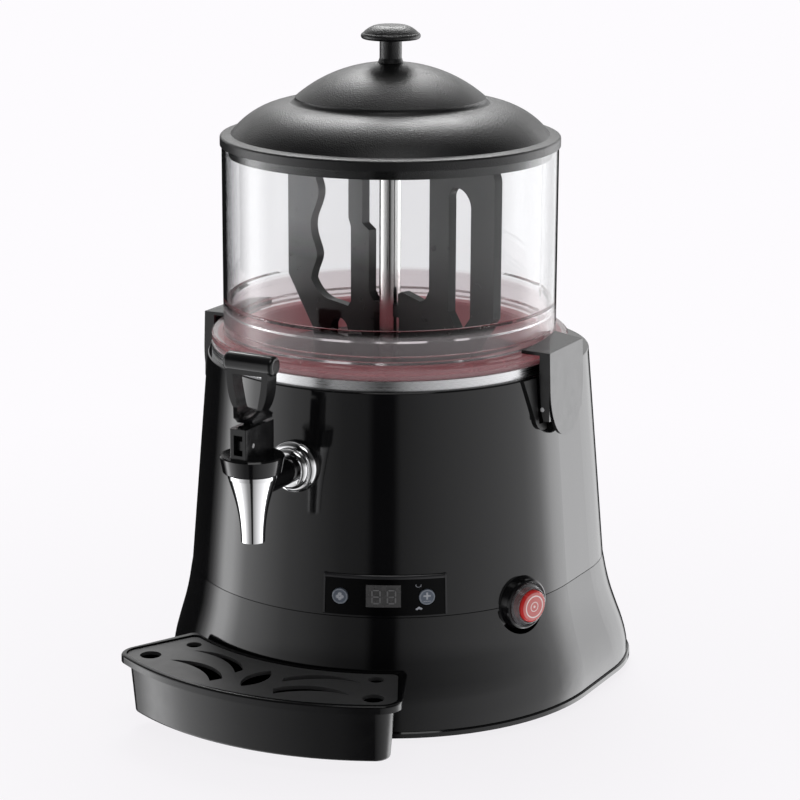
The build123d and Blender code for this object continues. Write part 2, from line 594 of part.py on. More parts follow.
with BuildPart() as switch_bezel:
    with BuildSketch(SWITCH_PLANE.offset(-1.2)):
        Circle(BEZEL_R)
    extrude(amount=5.2, taper=14)
    with BuildSketch(SWITCH_PLANE.offset(-22)):
        Circle(SWITCH_HOLE_R - 0.4)
    extrude(amount=20.8)
    with BuildSketch(SWITCH_PLANE.offset(-14)):
        Circle(CAP_R + 0.4)
    extrude(amount=30, mode=Mode.SUBTRACT)

with BuildPart() as power_button:
    with BuildSketch(SWITCH_PLANE.offset(-8)):
        Circle(CAP_R)
    extrude(amount=CAP_OUT + 7)
    with BuildSketch(SWITCH_PLANE.offset(CAP_OUT - 1)):
        Circle(CAP_R)
    extrude(amount=1, taper=45)

# ---------------------------------------------------------------- cord inlet and drain
INLET_PLANE = Plane((0, BASE_BACK + 3, INLET_Z), x_dir=(-1, 0, 0), z_dir=(0, 1, 0))
DRAIN_PLANE = Plane((DRAIN_X, BASE_BACK + 6, INLET_Z), x_dir=(-1, 0, 0), z_dir=(0, 1, 0))

with BuildPart() as cord_inlet:
    with BuildSketch(INLET_PLANE):
        Circle(12)
    extrude(amount=-20)
    body_loft(SKIRT_LEVELS, mode=Mode.SUBTRACT)
    with BuildSketch(INLET_PLANE.offset(-2)):
        Circle(7.8)
    extrude(amount=-18)
    with BuildSketch(INLET_PLANE):
        Circle(3.8)
    extrude(amount=-24, mode=Mode.SUBTRACT)

with BuildPart() as drain_plug:
    with BuildSketch(DRAIN_PLANE):
        Circle(9.5)
    extrude(amount=-24)
    body_loft(SKIRT_LEVELS, mode=Mode.SUBTRACT)
    with BuildSketch(DRAIN_PLANE.offset(-2)):
        Circle(6.9)
    extrude(amount=-22)
    with BuildSketch(DRAIN_PLANE):
        Rectangle(14, 2)
    extrude(amount=-1.5, mode=Mode.SUBTRACT)

# ---------------------------------------------------------------- tap
SPOUT_TOP = 193.4
SPOUT_HEAD_R = 16.4
RING_TOP = 205.3
RING_R = 21.3
RING_LOW_R = 19.4
BONNET_TOP = 226.0
BONNET_W = 12.6             # across X
BONNET_D = 35.0             # along Y
SLOT_W = 6.6
BARREL_R = 9.4
STEM_ROD_R = 2.4
SEAT_Z = 168.0
OUTLET_BORE_R = 6.3

SPOUT_AXIS = Axis((0, TAP_Y, 0), (0, 0, 1))
SPOUT_SECTION = Plane((0, TAP_Y, 0), x_dir=(1, 0, 0), z_dir=(0, -1, 0))


def spout_outside():
    """Half section of the spout's outside, closed on its axis."""
    with BuildLine() as border:
        Polyline((0, SPOUT_TOP), (SPOUT_HEAD_R, SPOUT_TOP), (16.1, 190))
        Spline((16.1, 190), (10.5, 170), (8.1, 151.5), tangents=((-0.30, -1), (-0.05, -1)))
        Polyline((8.1, 151.5), (7.9, TAP_OUTLET_Z), (0, TAP_OUTLET_Z), (0, SPOUT_TOP))
    make_face(border.edges())


with BuildPart() as tap_spout:
    with BuildSketch(SPOUT_SECTION):
        spout_outside()
    revolve(axis=SPOUT_AXIS)
    with BuildSketch(SPOUT_SECTION):
        section([(0, SPOUT_TOP), (SPOUT_HEAD_R - 2.4, SPOUT_TOP), (13.4, 188), (9.3, 173), (8.7, SEAT_Z),
                 (5.2, SEAT_Z), (5.2, SEAT_Z - 2), (OUTLET_BORE_R, SEAT_Z - 5),
                 (OUTLET_BORE_R, TAP_OUTLET_Z), (0, TAP_OUTLET_Z)])
    revolve(axis=SPOUT_AXIS, mode=Mode.SUBTRACT)
    with Locations(Location((0, TAP_Y + 15, TAP_Z), (90, 0, 0))):
        Cylinder(5.6, 20, mode=Mode.SUBTRACT)

with BuildPart() as tap_cap_ring:
    with BuildSketch(SPOUT_SECTION):
        section([(SPOUT_HEAD_R - 2.4, SPOUT_TOP), (RING_LOW_R - 0.8, SPOUT_TOP),
                 (RING_LOW_R, SPOUT_TOP + 0.8), (RING_R, RING_TOP - 1), (RING_R - 0.8, RING_TOP),
                 (STEM_ROD_R + 0.4, RING_TOP), (STEM_ROD_R + 0.4, RING_TOP - 4),
                 (SPOUT_HEAD_R - 2.4, RING_TOP - 4)])
    revolve(axis=SPOUT_AXIS)

with BuildPart() as tap_barrel:
    with BuildSketch(Plane((0, -SEAM_R + 14, TAP_Z), x_dir=(1, 0, 0), z_dir=(0, -1, 0))):
        Circle(BARREL_R)
        Circle(5.6, mode=Mode.SUBTRACT)
    extrude(amount=TAP_Y * -1 - SEAM_R + 14)
    with BuildSketch(SPOUT_SECTION):
        spout_outside()
    revolve(axis=SPOUT_AXIS, mode=Mode.SUBTRACT)
    with BuildSketch(SPOUT_SECTION):
        section([(0, SPOUT_TOP), (RING_LOW_R - 0.8, SPOUT_TOP), (RING_LOW_R, SPOUT_TOP + 0.8),
                 (RING_R, RING_TOP - 1), (RING_R, RING_TOP), (0, RING_TOP)])
    revolve(axis=SPOUT_AXIS, mode=Mode.SUBTRACT)

FLANGE_R = 18.0
with BuildPart() as tap_flange:
    with BuildSketch(Plane.YZ):
        with BuildLine():
            Polyline((0, TAP_Z + BARREL_R), (-144, TAP_Z + BARREL_R), (-144, TAP_Z + 10.8))
            ThreePointArc((-144, TAP_Z + 10.8), (-142.8, TAP_Z + 13.2), (-139.6, TAP_Z + 14.2))
            Line((-139.6, TAP_Z + 14.2), (-139, TAP_Z + 14.2))
            ThreePointArc((-139, TAP_Z + 14.2), (-137.2, TAP_Z + 17.2), (-134, TAP_Z + FLANGE_R))
            Polyline((-134, TAP_Z + FLANGE_R), (-122, TAP_Z + FLANGE_R), (0, TAP_Z + FLANGE_R),
                     (0, TAP_Z + BARREL_R))
        make_face()
    revolve(axis=Axis((0, 0, TAP_Z), (0, 1, 0)))
    body_loft(HOUSING_LEVELS, mode=Mode.SUBTRACT, ruled=True)

with BuildPart() as outlet_pipe:
    with BuildSketch(Plane((0, -PAN_R + 10, TAP_Z), x_dir=(1, 0, 0), z_dir=(0, -1, 0))):
        Circle(OUTLET_R)
        Circle(5.6, mode=Mode.SUBTRACT)
    extrude(amount=SEAM_R - PAN_R - 24)

with BuildPart() as tap_nut:
    with BuildSketch(Plane((0, -SEAM_R + 17.4, TAP_Z), x_dir=(1, 0, 0), z_dir=(0, -1, 0))):
        RegularPolygon(15, 6)
        Circle(OUTLET_R + 0.02, mode=Mode.SUBTRACT)
    extrude(amount=-4)

with BuildPart() as tap_bonnet:
    with BuildSketch(Plane.XY.offset(RING_TOP)):
        with Locations((0, TAP_Y)):
            RectangleRounded(BONNET_W, BONNET_D, 0.8)
    extrude(amount=BONNET_TOP - RING_TOP)
    with Locations((0, TAP_Y - 3.5, RING_TOP + 3)):
        Box(SLOT_W, 24, 40, align=(Align.CENTER, Align.CENTER, Align.MIN), mode=Mode.SUBTRACT)
    with Locations((0, TAP_Y - BONNET_D / 2, RING_TOP + 3)):
        Box(SLOT_W, 10, 13.5, align=(Align.CENTER, Align.CENTER, Align.MIN), mode=Mode.SUBTRACT)
    with Locations((0, TAP_Y, RING_TOP)):
        Cylinder(STEM_ROD_R + 0.4, 10, mode=Mode.SUBTRACT)
    with Locations(Location((0, LEVER_PIVOT_Y, LEVER_PIVOT_Z), (0, 90, 0))):
        Cylinder(1.5, 40, mode=Mode.SUBTRACT)

with BuildPart() as lever_pin:
    with BuildSketch(Plane.YZ.offset(-BONNET_W / 2)):
        with Locations((LEVER_PIVOT_Y, LEVER_PIVOT_Z)):
            Circle(1.5)
    extrude(amount=BONNET_W)

LEVER_LOW = 227.8
LEVER_T = 11.6              # depth of the loop along Y
NECK_BACK = 15.5            # reach of the neck behind the tap's axis
BAR_Z = 266.0
BAR_R = 6.7
BAR_HALF = 18.4
with BuildPart() as lever_bar:
    with Locations(Location((0, TAP_Y, BAR_Z), (0, 90, 0))):
        Cylinder(BAR_R, 2 * BAR_HALF)
    fillet(lever_bar.edges().filter_by(GeomType.CIRCLE), 2.6)

with BuildPart() as tap_lever:
    # loop under the bar, drawn in the XZ plane
    with BuildSketch(Plane((0, TAP_Y + NECK_BACK, 0), x_dir=(1, 0, 0), z_dir=(0, -1, 0))):
        with BuildLine():
            Polyline((-6.2, LEVER_LOW), (-6.2, LEVER_LOW + 1.6))
            Spline((-6.2, LEVER_LOW + 1.6), (-12.2, 240), (-15.4, 257),
                   tangents=((-0.5, 1), (-0.06, 1)))
            Polyline((-15.4, 257), (-15.4, BAR_Z), (15.4, BAR_Z), (15.4, 257))
            Spline((15.4, 257), (12.2, 240), (6.2, LEVER_LOW + 1.6),
                   tangents=((-0.06, -1), (-0.5, -1)))
            Polyline((6.2, LEVER_LOW + 1.6), (6.2, LEVER_LOW), (-6.2, LEVER_LOW))
        make_face()
        with BuildLine():
            Line((-10.8, BAR_Z - BAR_R), (10.8, BAR_Z - BAR_R))
            Spline((10.8, BAR_Z - BAR_R), (8.4, 241.5), (0, 231.2), tangents=((0, -1), (-1, 0)))
            Spline((0, 231.2), (-8.4, 241.5), (-10.8, BAR_Z - BAR_R), tangents=((-1, 0), (0, 1)))
        make_face(mode=Mode.SUBTRACT)
    extrude(amount=2 * NECK_BACK)
    # side view of the loop: thin at the bar, flared to the depth of the bonnet at the neck
    with BuildSketch(Plane.YZ.offset(-20)):
        with BuildLine():
            Polyline((TAP_Y - LEVER_T / 2, BAR_Z), (TAP_Y - LEVER_T / 2, 237),
                     (TAP_Y - 11, 231.4), (TAP_Y - 8, LEVER_LOW), (TAP_Y + NECK_BACK, LEVER_LOW),
                     (TAP_Y + NECK_BACK, 230.6), (TAP_Y + LEVER_T / 2, 235), (TAP_Y + LEVER_T / 2, BAR_Z),
                     close=True)
        make_face()
    extrude(amount=40, mode=Mode.INTERSECT)
    add(lever_bar.part)
    # blade in the bonnet's slot, with the toe that lifts the stem
    with BuildSketch(Plane.YZ.offset(-SLOT_W / 2 + 0.4)):
        with BuildLine():
            Polyline((TAP_Y - 4, LEVER_LOW + 1.2), (TAP_Y + 4, LEVER_LOW + 1.2), (TAP_Y - 4, 222),
                     (TAP_Y - 4.4, 209.6), (LEVER_PIVOT_Y, 208.6), (LEVER_PIVOT_Y - 4.6, 211),
                     (LEVER_PIVOT_Y - 4.6, 217), close=True)
        make_face()
    extrude(amount=SLOT_W - 0.8)
    with Locations(Location((0, LEVER_PIVOT_Y, LEVER_PIVOT_Z), (0, 90, 0))):
        Cylinder(1.5 + RUN, 40, mode=Mode.SUBTRACT)

with BuildPart() as tap_stem:
    with BuildSketch(SPOUT_SECTION):
        section([(0, SEAT_Z + 1.6), (4, SEAT_Z + 1.6), (4, SEAT_Z + 4), (STEM_ROD_R, SEAT_Z + 5),
                 (STEM_ROD_R, 212), (0, 212)])
    revolve(axis=SPOUT_AXIS)

with BuildPart() as seat_cup:
    with BuildSketch(SPOUT_SECTION):
        section([(0, SEAT_Z + 0.2), (7.4, SEAT_Z + 0.2), (7.8, SEAT_Z + 3), (6.6, SEAT_Z + 5.4),
                 (STEM_ROD_R, SEAT_Z + 5.4), (STEM_ROD_R, SEAT_Z + 5), (4, SEAT_Z + 4),
                 (4, SEAT_Z + 1.6), (0, SEAT_Z + 1.6)])
    revolve(axis=SPOUT_AXIS)

# ---------------------------------------------------------------- bowl latches: right hand, mirrored to the left
LATCH_HALF = 26.6
LATCH_TOP = 254.6
LATCH_TIP = 193.3
LIP_LOW = FLANGE_TOP + 0.4
PAD_T = 2.0
LUG_R = 2.6
CHEEK_T = 2.8
CHEEK_Y = LATCH_HALF - CHEEK_T / 2


def latch_bracket_shape():
    """Pad on the housing's flank with a lug that carries the latch pin."""
    with BuildPart() as bracket:
        with BuildSketch(Plane.YZ.offset(100)):
            with BuildLine():
                Polyline((-40, 236.6), (40, 236.6), (31, 208))
                ThreePointArc((31, 208), (27, 201.5), (19, 200.5))
                Line((19, 200.5), (-19, 200.5))
                ThreePointArc((-19, 200.5), (-27, 201.5), (-31, 208))
                Line((-31, 208), (-40, 236.6))
            make_face()
        extrude(amount=34.2)
        body_loft([(180, wall_radius(180) + PAD_T, SEAM_BACK), (TOP_Z, TOP_R + PAD_T, TOP_BACK)],
                  mode=Mode.INTERSECT, ruled=True)
        body_loft(HOUSING_LEVELS, mode=Mode.SUBTRACT, ruled=True)
        with Locations((120, CHEEK_Y, 205), (120, -CHEEK_Y, 205)):
            Box(40, CHEEK_T + 1.6, 40, align=(Align.CENTER, Align.CENTER, Align.MIN), mode=Mode.SUBTRACT)
        with BuildSketch(Plane.XZ.offset(-12)):
            with Locations((LATCH_PIVOT_X, LATCH_PIVOT_Z)):
                Circle(LUG_R)
                with Locations((-2, 0)):
                    Rectangle(4, 2 * LUG_R)
        extrude(amount=24)
        body_loft(HOUSING_LEVELS, mode=Mode.SUBTRACT, ruled=True)
        with BuildSketch(Plane.XZ.offset(-30)):
            with Locations((LATCH_PIVOT_X, LATCH_PIVOT_Z)):
                Circle(1.5)
        extrude(amount=60, mode=Mode.SUBTRACT)
        with Locations((132, 0, 206)):
            Box(20, 38, 12, align=(Align.CENTER, Align.CENTER, Align.MAX), mode=Mode.SUBTRACT)
    return bracket.part


def latch_shape():
    """Spring latch: outer shield, two cheeks round the pin, and a lip over the bowl's flange."""
    with BuildPart() as latch:
        with BuildSketch(Plane.YZ.offset(128)):
            with BuildLine():
                Polyline((-LATCH_HALF, 232), (-LATCH_HALF, LATCH_TOP), (LATCH_HALF, LATCH_TOP),
                         (LATCH_HALF, 232))
                Spline((LATCH_HALF, 232), (20.2, 205), (0, LATCH_TIP),
                       tangents=((0, -1), (-1, 0)))
                Spline((0, LATCH_TIP), (-20.2, 205), (-LATCH_HALF, 232),
                       tangents=((-1, 0), (0, 1)))
            make_face()
        extrude(amount=14)
        # keep the slab between the tilted inner and outer faces, and the cheeks
        with BuildSketch(Plane.XZ.offset(-40)):
            section([(137.0, LATCH_TOP), (139.2, LATCH_TIP - 2), (136.8, LATCH_TIP - 2), (136.0, 222),
                     (133.4, 240), (132.4, LATCH_TOP)])
        extrude(amount=80, mode=Mode.INTERSECT)
        for side in (-1, 1):
            with BuildSketch(Plane.XZ.offset(-CHEEK_Y * side - CHEEK_T / 2)):
                section([(133.2, 207), (137.4, 207), (136.6, LATCH_TOP - 1), (129.3, LATCH_TOP - 1),
                         (129.3, 236), (130.8, 219), (131.8, 211)])
            extrude(amount=CHEEK_T)
        # lip over the flange, hollowed to the bowl's wall
        with BuildSketch(Plane.XZ.offset(-LATCH_HALF)):
            section([(137.0, LATCH_TOP), (136.6, LIP_LOW), (112, LIP_LOW), (112, LATCH_TOP + 3.5)])
        extrude(amount=2 * LATCH_HALF)
        with Locations((0, 0, LIP_LOW - 4)):
            Cylinder(BOWL_R + 1.6, 20, align=(Align.CENTER, Align.CENTER, Align.MIN), mode=Mode.SUBTRACT)
        # facet that falls away to the front
        with BuildSketch(Plane((137, -LATCH_HALF, LATCH_TOP), z_dir=(0.014, -0.061, 1))):
            Rectangle(120, 120)
        extrude(amount=12, mode=Mode.SUBTRACT)
        with BuildSketch(Plane.XZ.offset(-30)):
            with Locations((LATCH_PIVOT_X, LATCH_PIVOT_Z)):
                Circle(1.5 + RUN)
        extrude(amount=60, mode=Mode.SUBTRACT)
    return latch.part


def latch_pin_shape():
    """Pivot pin of one latch."""
    with BuildPart() as pin:
        with BuildSketch(Plane.XZ.offset(-LATCH_HALF)):
            with Locations((LATCH_PIVOT_X, LATCH_PIVOT_Z)):
                Circle(1.5)
        extrude(amount=2 * LATCH_HALF)
    return pin.part


# ---------------------------------------------------------------- drip tray and grid
TRAY_WALL = 2.2
TRAY_FRONT = 216.0
TRAY_HALF = 105.5            # half width at the front corners
TRAY_CORNER_Y = -186.0
TRAY_BACK_HALF = 78.0
TRAY_BACK_R = 159.0
RIM_OUT = 5.4
RIM_WALL = 3.6              # rim left standing round the grid's pocket
RIM_BACK_R = 152.5
DRAFT = 3.6                 # how far the walls close in from the rim to the floor
LEDGE_Z = TRAY_TOP - GRID_T - 1.3
GRID_CLEAR = 0.5


def tray_plan(z, grow, back_r, corner):
    """Tray outline at height z: bulged front, ends that close in to the back, hollow back."""
    half = TRAY_HALF + grow
    y_side = TRAY_CORNER_Y - 0.4 * grow
    back_x = TRAY_BACK_HALF + grow
    back_y = -sqrt(back_r ** 2 - back_x ** 2)
    with BuildSketch(Plane.XY.offset(z)) as plan:
        with BuildLine():
            ThreePointArc((-half, y_side), (0, -TRAY_FRONT - grow), (half, y_side))
            Line((half, y_side), (back_x, back_y))
            ThreePointArc((back_x, back_y), (0, -back_r), (-back_x, back_y))
            Line((-back_x, back_y), (-half, y_side))
        make_face()
        fillet(plan.vertices().group_by(Axis.Y)[0], corner)
        fillet(plan.vertices().group_by(Axis.Y)[-1], 5)
    return plan.sketch


with BuildPart() as drip_tray:
    loft([tray_plan(TRAY_BOTTOM, -DRAFT, TRAY_BACK_R + 2, 10),
          tray_plan(TRAY_RIM_Z, 0, TRAY_BACK_R, 13)], ruled=True)
    fillet(drip_tray.edges().group_by(Axis.Z)[0], 1.6)
    extrude(tray_plan(TRAY_RIM_Z, RIM_OUT, RIM_BACK_R, 15), amount=TRAY_TOP - TRAY_RIM_Z)
    fillet(drip_tray.edges().group_by(Axis.Z)[-1], 1.8)
    loft([tray_plan(TRAY_BOTTOM + TRAY_WALL, -DRAFT - TRAY_WALL, TRAY_BACK_R + 2 + TRAY_WALL, 8),
          tray_plan(TRAY_TOP + 1, -TRAY_WALL, TRAY_BACK_R + TRAY_WALL, 11)],
         ruled=True, mode=Mode.SUBTRACT)
    extrude(tray_plan(LEDGE_Z, RIM_OUT - RIM_WALL, RIM_BACK_R + 2.4, 12.6), amount=TRAY_TOP,
            mode=Mode.SUBTRACT)
    with Locations((0, -TRAY_BACK_R + 11, TONGUE_Z + TONGUE_T / 2)):
        Box(TONGUE_W, 28, TONGUE_T)


with BuildPart() as drip_grid:
    extrude(tray_plan(LEDGE_Z, RIM_OUT - RIM_WALL - GRID_CLEAR, RIM_BACK_R + 2.4 + GRID_CLEAR, 12.2),
            amount=GRID_T)
    with BuildSketch(Plane.XY.offset(LEDGE_Z)):
        with Locations((-86.5, -181.4), (86.5, -181.4)):
            Circle(7.3)
        with Locations((-71.5, -150.0), (71.5, -150.0)):
            Circle(5.3)
        with BuildLine():
            ThreePointArc((-1.2, -203), (-7.4, -186), (1.2, -169))
            ThreePointArc((1.2, -169), (7.4, -186), (-1.2, -203))
        make_face()
    extrude(amount=GRID_T, mode=Mode.SUBTRACT)
    with BuildSketch(Plane.XY.offset(LEDGE_Z)):
        for side in (-1, 1):
            with BuildLine():
                ThreePointArc((side * 70, -183.4), (side * 43, -179.6), (side * 19.5, -197))
                Line((side * 19.5, -197), (side * 24.5, -205))
                ThreePointArc((side * 24.5, -205), (side * 44, -188.6), (side * 70, -183.4))
            make_face()
            with BuildLine():
                ThreePointArc((side * 65.5, -160), (side * 38, -158.6), (side * 15.8, -176.5))
                Line((side * 15.8, -176.5), (side * 18.2, -183.4))
                ThreePointArc((side * 18.2, -183.4), (side * 38, -166), (side * 65.5, -160))
            make_face()
    extrude(amount=GRID_T, mode=Mode.SUBTRACT)

# ---------------------------------------------------------------- write every sub-part
NODES = {
    "base_plate": base_plate, "feet": feet, "foot_screws": foot_screws, "lower_skirt": lower_skirt,
    "upper_housing": upper_housing, "seam_ring": seam_ring, "product_pan": product_pan,
    "standpipe": standpipe, "shaft_bushes": shaft_bushes, "water_tank": water_tank,
    "heating_element": heating_element, "tank_bush": tank_bush, "thermostat": thermostat,
    "tank_posts": tank_posts, "bowl": bowl, "bowl_gasket": bowl_gasket, "lid": lid,
    "lid_knob": lid_knob, "knob_screw": knob_screw, "agitator": agitator, "drive_shaft": drive_shaft,
    "drive_coupling": drive_coupling, "gearmotor": gearmotor, "motor_bracket": motor_bracket,
    "bracket_screws": bracket_screws, "power_board": power_board, "terminal_block": terminal_block,
    "panel_fascia": panel_fascia, "display_window": display_window, "status_lamps": status_lamps,
    "control_board": control_board, "switch_bezel": switch_bezel, "power_button": power_button,
    "cord_inlet": cord_inlet, "drain_plug": drain_plug, "tap_spout": tap_spout,
    "tap_cap_ring": tap_cap_ring, "tap_barrel": tap_barrel, "tap_flange": tap_flange,
    "outlet_pipe": outlet_pipe, "tap_nut": tap_nut, "tap_bonnet": tap_bonnet, "lever_pin": lever_pin,
    "tap_lever": tap_lever, "tap_stem": tap_stem, "seat_cup": seat_cup, "drip_tray": drip_tray,
    "drip_grid": drip_grid,
}

for label, builder in NODES.items():
    save(builder.part, label)

for label, angle in BUTTON_ANGLES.items():
    save(press_button(angle), label)

for label, shape in (("latch_bracket", latch_bracket_shape()), ("latch", latch_shape()),
                     ("latch_pin", latch_pin_shape())):
    save(shape, f"{label}_right")
    save(shape.mirror(Plane.YZ), f"{label}_left")
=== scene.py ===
import json
from math import cos, pi, radians, sin

import bmesh
import bpy
from mathutils import Matrix, Vector


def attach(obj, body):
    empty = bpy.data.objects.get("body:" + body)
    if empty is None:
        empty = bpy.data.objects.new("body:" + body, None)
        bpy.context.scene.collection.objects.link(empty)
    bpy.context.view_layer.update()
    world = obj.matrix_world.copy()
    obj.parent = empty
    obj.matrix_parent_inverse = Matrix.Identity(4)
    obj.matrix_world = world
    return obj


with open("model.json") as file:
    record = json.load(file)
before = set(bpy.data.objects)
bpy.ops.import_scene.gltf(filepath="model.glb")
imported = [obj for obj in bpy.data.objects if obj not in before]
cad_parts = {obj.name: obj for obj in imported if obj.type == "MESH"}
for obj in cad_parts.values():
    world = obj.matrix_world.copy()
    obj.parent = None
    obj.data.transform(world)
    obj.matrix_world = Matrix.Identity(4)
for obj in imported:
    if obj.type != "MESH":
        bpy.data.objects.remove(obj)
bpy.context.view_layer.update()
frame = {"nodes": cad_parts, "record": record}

NODES = frame["nodes"]
SCENE = bpy.context.scene
SCENE.view_settings.view_transform = "Standard"

# ---------------------------------------------------------------- camera
VIEW_AZIMUTH = radians(28.068)      # from the front towards the switch side
VIEW_DOWN = radians(14.446)
VIEW_ROLL = radians(0.253)
VIEW_POSITION = (0.8728, -1.6210, 0.6737)
VIEW_LENS = 120.38

ahead = Vector((-sin(VIEW_AZIMUTH) * cos(VIEW_DOWN), cos(VIEW_AZIMUTH) * cos(VIEW_DOWN), -sin(VIEW_DOWN)))
level = ahead.cross(Vector((0, 0, 1))).normalized()
upright = level.cross(ahead)
right = level * cos(VIEW_ROLL) + upright * sin(VIEW_ROLL)
up = upright * cos(VIEW_ROLL) - level * sin(VIEW_ROLL)
camera_data = bpy.data.cameras.new("camera")
camera_data.lens = VIEW_LENS
camera_data.sensor_width = 36.0
camera_data.clip_start = 0.05
camera = bpy.data.objects.new("camera", camera_data)
camera.matrix_world = Matrix((
    (right.x, up.x, -ahead.x, VIEW_POSITION[0]),
    (right.y, up.y, -ahead.y, VIEW_POSITION[1]),
    (right.z, up.z, -ahead.z, VIEW_POSITION[2]),
    (0, 0, 0, 1)))
SCENE.collection.objects.link(camera)
SCENE.camera = camera


# ---------------------------------------------------------------- node helpers
class Shader:
    """One material's node tree with short calls for the nodes used here."""

    def __init__(self, name):
        self.material = bpy.data.materials.new(name)
        self.material.use_nodes = True
        self.tree = self.material.node_tree
        self.bsdf = self.tree.nodes["Principled BSDF"]
        self.coords = self.node("ShaderNodeTexCoord").outputs["Object"]

    def node(self, kind, **settings):
        made = self.tree.nodes.new(kind)
        for key, value in settings.items():
            setattr(made, key, value)
        return made

    def link(self, source, target):
        self.tree.links.new(source, target)

    def constants(self, **values):
        for key, value in values.items():
            self.bsdf.inputs[key.replace("_", " ")].default_value = value
        return self

    def scaled(self, scale, rotation=(0, 0, 0)):
        mapping = self.node("ShaderNodeMapping")
        mapping.inputs["Scale"].default_value = scale
        mapping.inputs["Rotation"].default_value = rotation
        self.link(self.coords, mapping.inputs["Vector"])
        return mapping.outputs["Vector"]

    def noise(self, scale, detail=3.0, roughness=0.5, vector=None):
        made = self.node("ShaderNodeTexNoise")
        made.inputs["Scale"].default_value = scale
        made.inputs["Detail"].default_value = detail
        made.inputs["Roughness"].default_value = roughness
        self.link(vector or self.coords, made.inputs["Vector"])
        return made.outputs["Fac"]

    def cells(self, scale, feature="F1", vector=None):
        made = self.node("ShaderNodeTexVoronoi", feature=feature)
        made.inputs["Scale"].default_value = scale
        self.link(vector or self.coords, made.inputs["Vector"])
        return made.outputs["Distance"]

    def math(self, operation, a, b=None, clamp=False):
        made = self.node("ShaderNodeMath", operation=operation, use_clamp=clamp)
        for socket, value in zip(made.inputs, (a, b)):
            if value is None:
                continue
            if isinstance(value, (int, float)):
                socket.default_value = value
            else:
                self.link(value, socket)
        return made.outputs[0]

    def span(self, value, low, high, to_low=0.0, to_high=1.0):
        made = self.node("ShaderNodeMapRange")
        made.clamp = True
        made.inputs["From Min"].default_value = low
        made.inputs["From Max"].default_value = high
        made.inputs["To Min"].default_value = to_low
        made.inputs["To Max"].default_value = to_high
        self.link(value, made.inputs["Value"])
        return made.outputs["Result"]

    def mix(self, factor, first, second):
        made = self.node("ShaderNodeMix", data_type="RGBA")
        self.link(factor, made.inputs["Factor"])
        for socket, value in ((made.inputs[6], first), (made.inputs[7], second)):
            if isinstance(value, tuple):
                socket.default_value = (*value, 1.0)
            else:
                self.link(value, socket)
        return made.outputs[2]

    def color(self, factor, first, second):
        self.link(self.mix(factor, first, second), self.bsdf.inputs["Base Color"])
        return self

    def roughness(self, factor, low, high):
        self.link(self.span(factor, 0.3, 0.7, low, high), self.bsdf.inputs["Roughness"])
        return self

    def bump(self, height, strength, distance):
        made = self.node("ShaderNodeBump")
        made.inputs["Strength"].default_value = strength
        made.inputs["Distance"].default_value = distance
        self.link(height, made.inputs["Height"])
        before = self.bsdf.inputs["Normal"].links
        if before:
            self.link(before[0].from_socket, made.inputs["Normal"])
        self.link(made.outputs["Normal"], self.bsdf.inputs["Normal"])
        return self


# ---------------------------------------------------------------- materials
FOOT_TOP = 0.2725              # top of the bowl's thick, hazy foot, which also carries a painted pink for the gasket's light seen through it
FOOT_FADE = 0.002              # height over which the haze and its painted pink begin
BOWL_IOR = 1.31                # below a real plastic's, which keeps the bowl's edges light
EDGE_FROM, EDGE_FULL = 0.56, 0.70       # how edge-on the bowl's wall is where its painted shade sets in, a grey standing in for the darker surroundings seen in the wall there
# painted sheen on the paddle: the heights where it sets in, and how it fades from the left wing to a share
# on the right
PADDLE_SHEEN_FROM, PADDLE_SHEEN_FULL = 0.290, 0.318
PADDLE_RIGHT, PADDLE_LEFT, PADDLE_RIGHT_SHEEN_SHARE = 0.02, -0.06, 0.07
# painted light: the red gasket glows a little to stand in for the light that reaches it through the bowl
GASKET_PAINTED_GLOW = 0.20


def moulded_gloss():
    """Polished black moulding: faint cloudiness, fine wipe marks and a hint of orange peel."""
    s = Shader("black_gloss")
    s.color(s.noise(9.0), (0.0032, 0.0032, 0.0036), (0.0060, 0.0060, 0.0066))
    wiped = s.noise(70.0, 4.0, 0.6, s.scaled((1.0, 1.0, 0.18)))
    s.roughness(wiped, 0.055, 0.12)
    s.bump(s.noise(55.0, 2.0), 0.05, 0.0004)
    s.bump(s.noise(1400.0, 2.0), 0.04, 0.0001)
    return s.material


def leather_satin():
    """Satin black moulding with a fine leather grain."""
    s = Shader("lid_grain")
    grain = s.cells(1150.0, "SMOOTH_F1")
    soft = s.noise(38.0, 3.0)
    s.color(s.math("MULTIPLY", grain, 1.4, True), (0.0022, 0.0022, 0.0025), (0.0060, 0.0060, 0.0066))
    s.roughness(soft, 0.30, 0.40)
    s.bump(grain, 0.34, 0.0006)
    s.bump(s.noise(2600.0, 2.0), 0.10, 0.0002)
    return s.material


def smooth_satin(name, low, high, dark=(0.0030, 0.0030, 0.0034), light=(0.0062, 0.0062, 0.0068),
                 specular=0.5):
    """Semi-gloss black moulding without grain."""
    s = Shader(name)
    s.constants(Specular_IOR_Level=specular)
    s.color(s.noise(40.0, 3.0), dark, light)
    s.roughness(s.noise(90.0, 4.0, 0.6), low, high)
    s.bump(s.noise(240.0, 2.0), 0.02, 0.0002)
    s.bump(s.noise(1900.0, 2.0), 0.015, 0.0001)
    return s.material


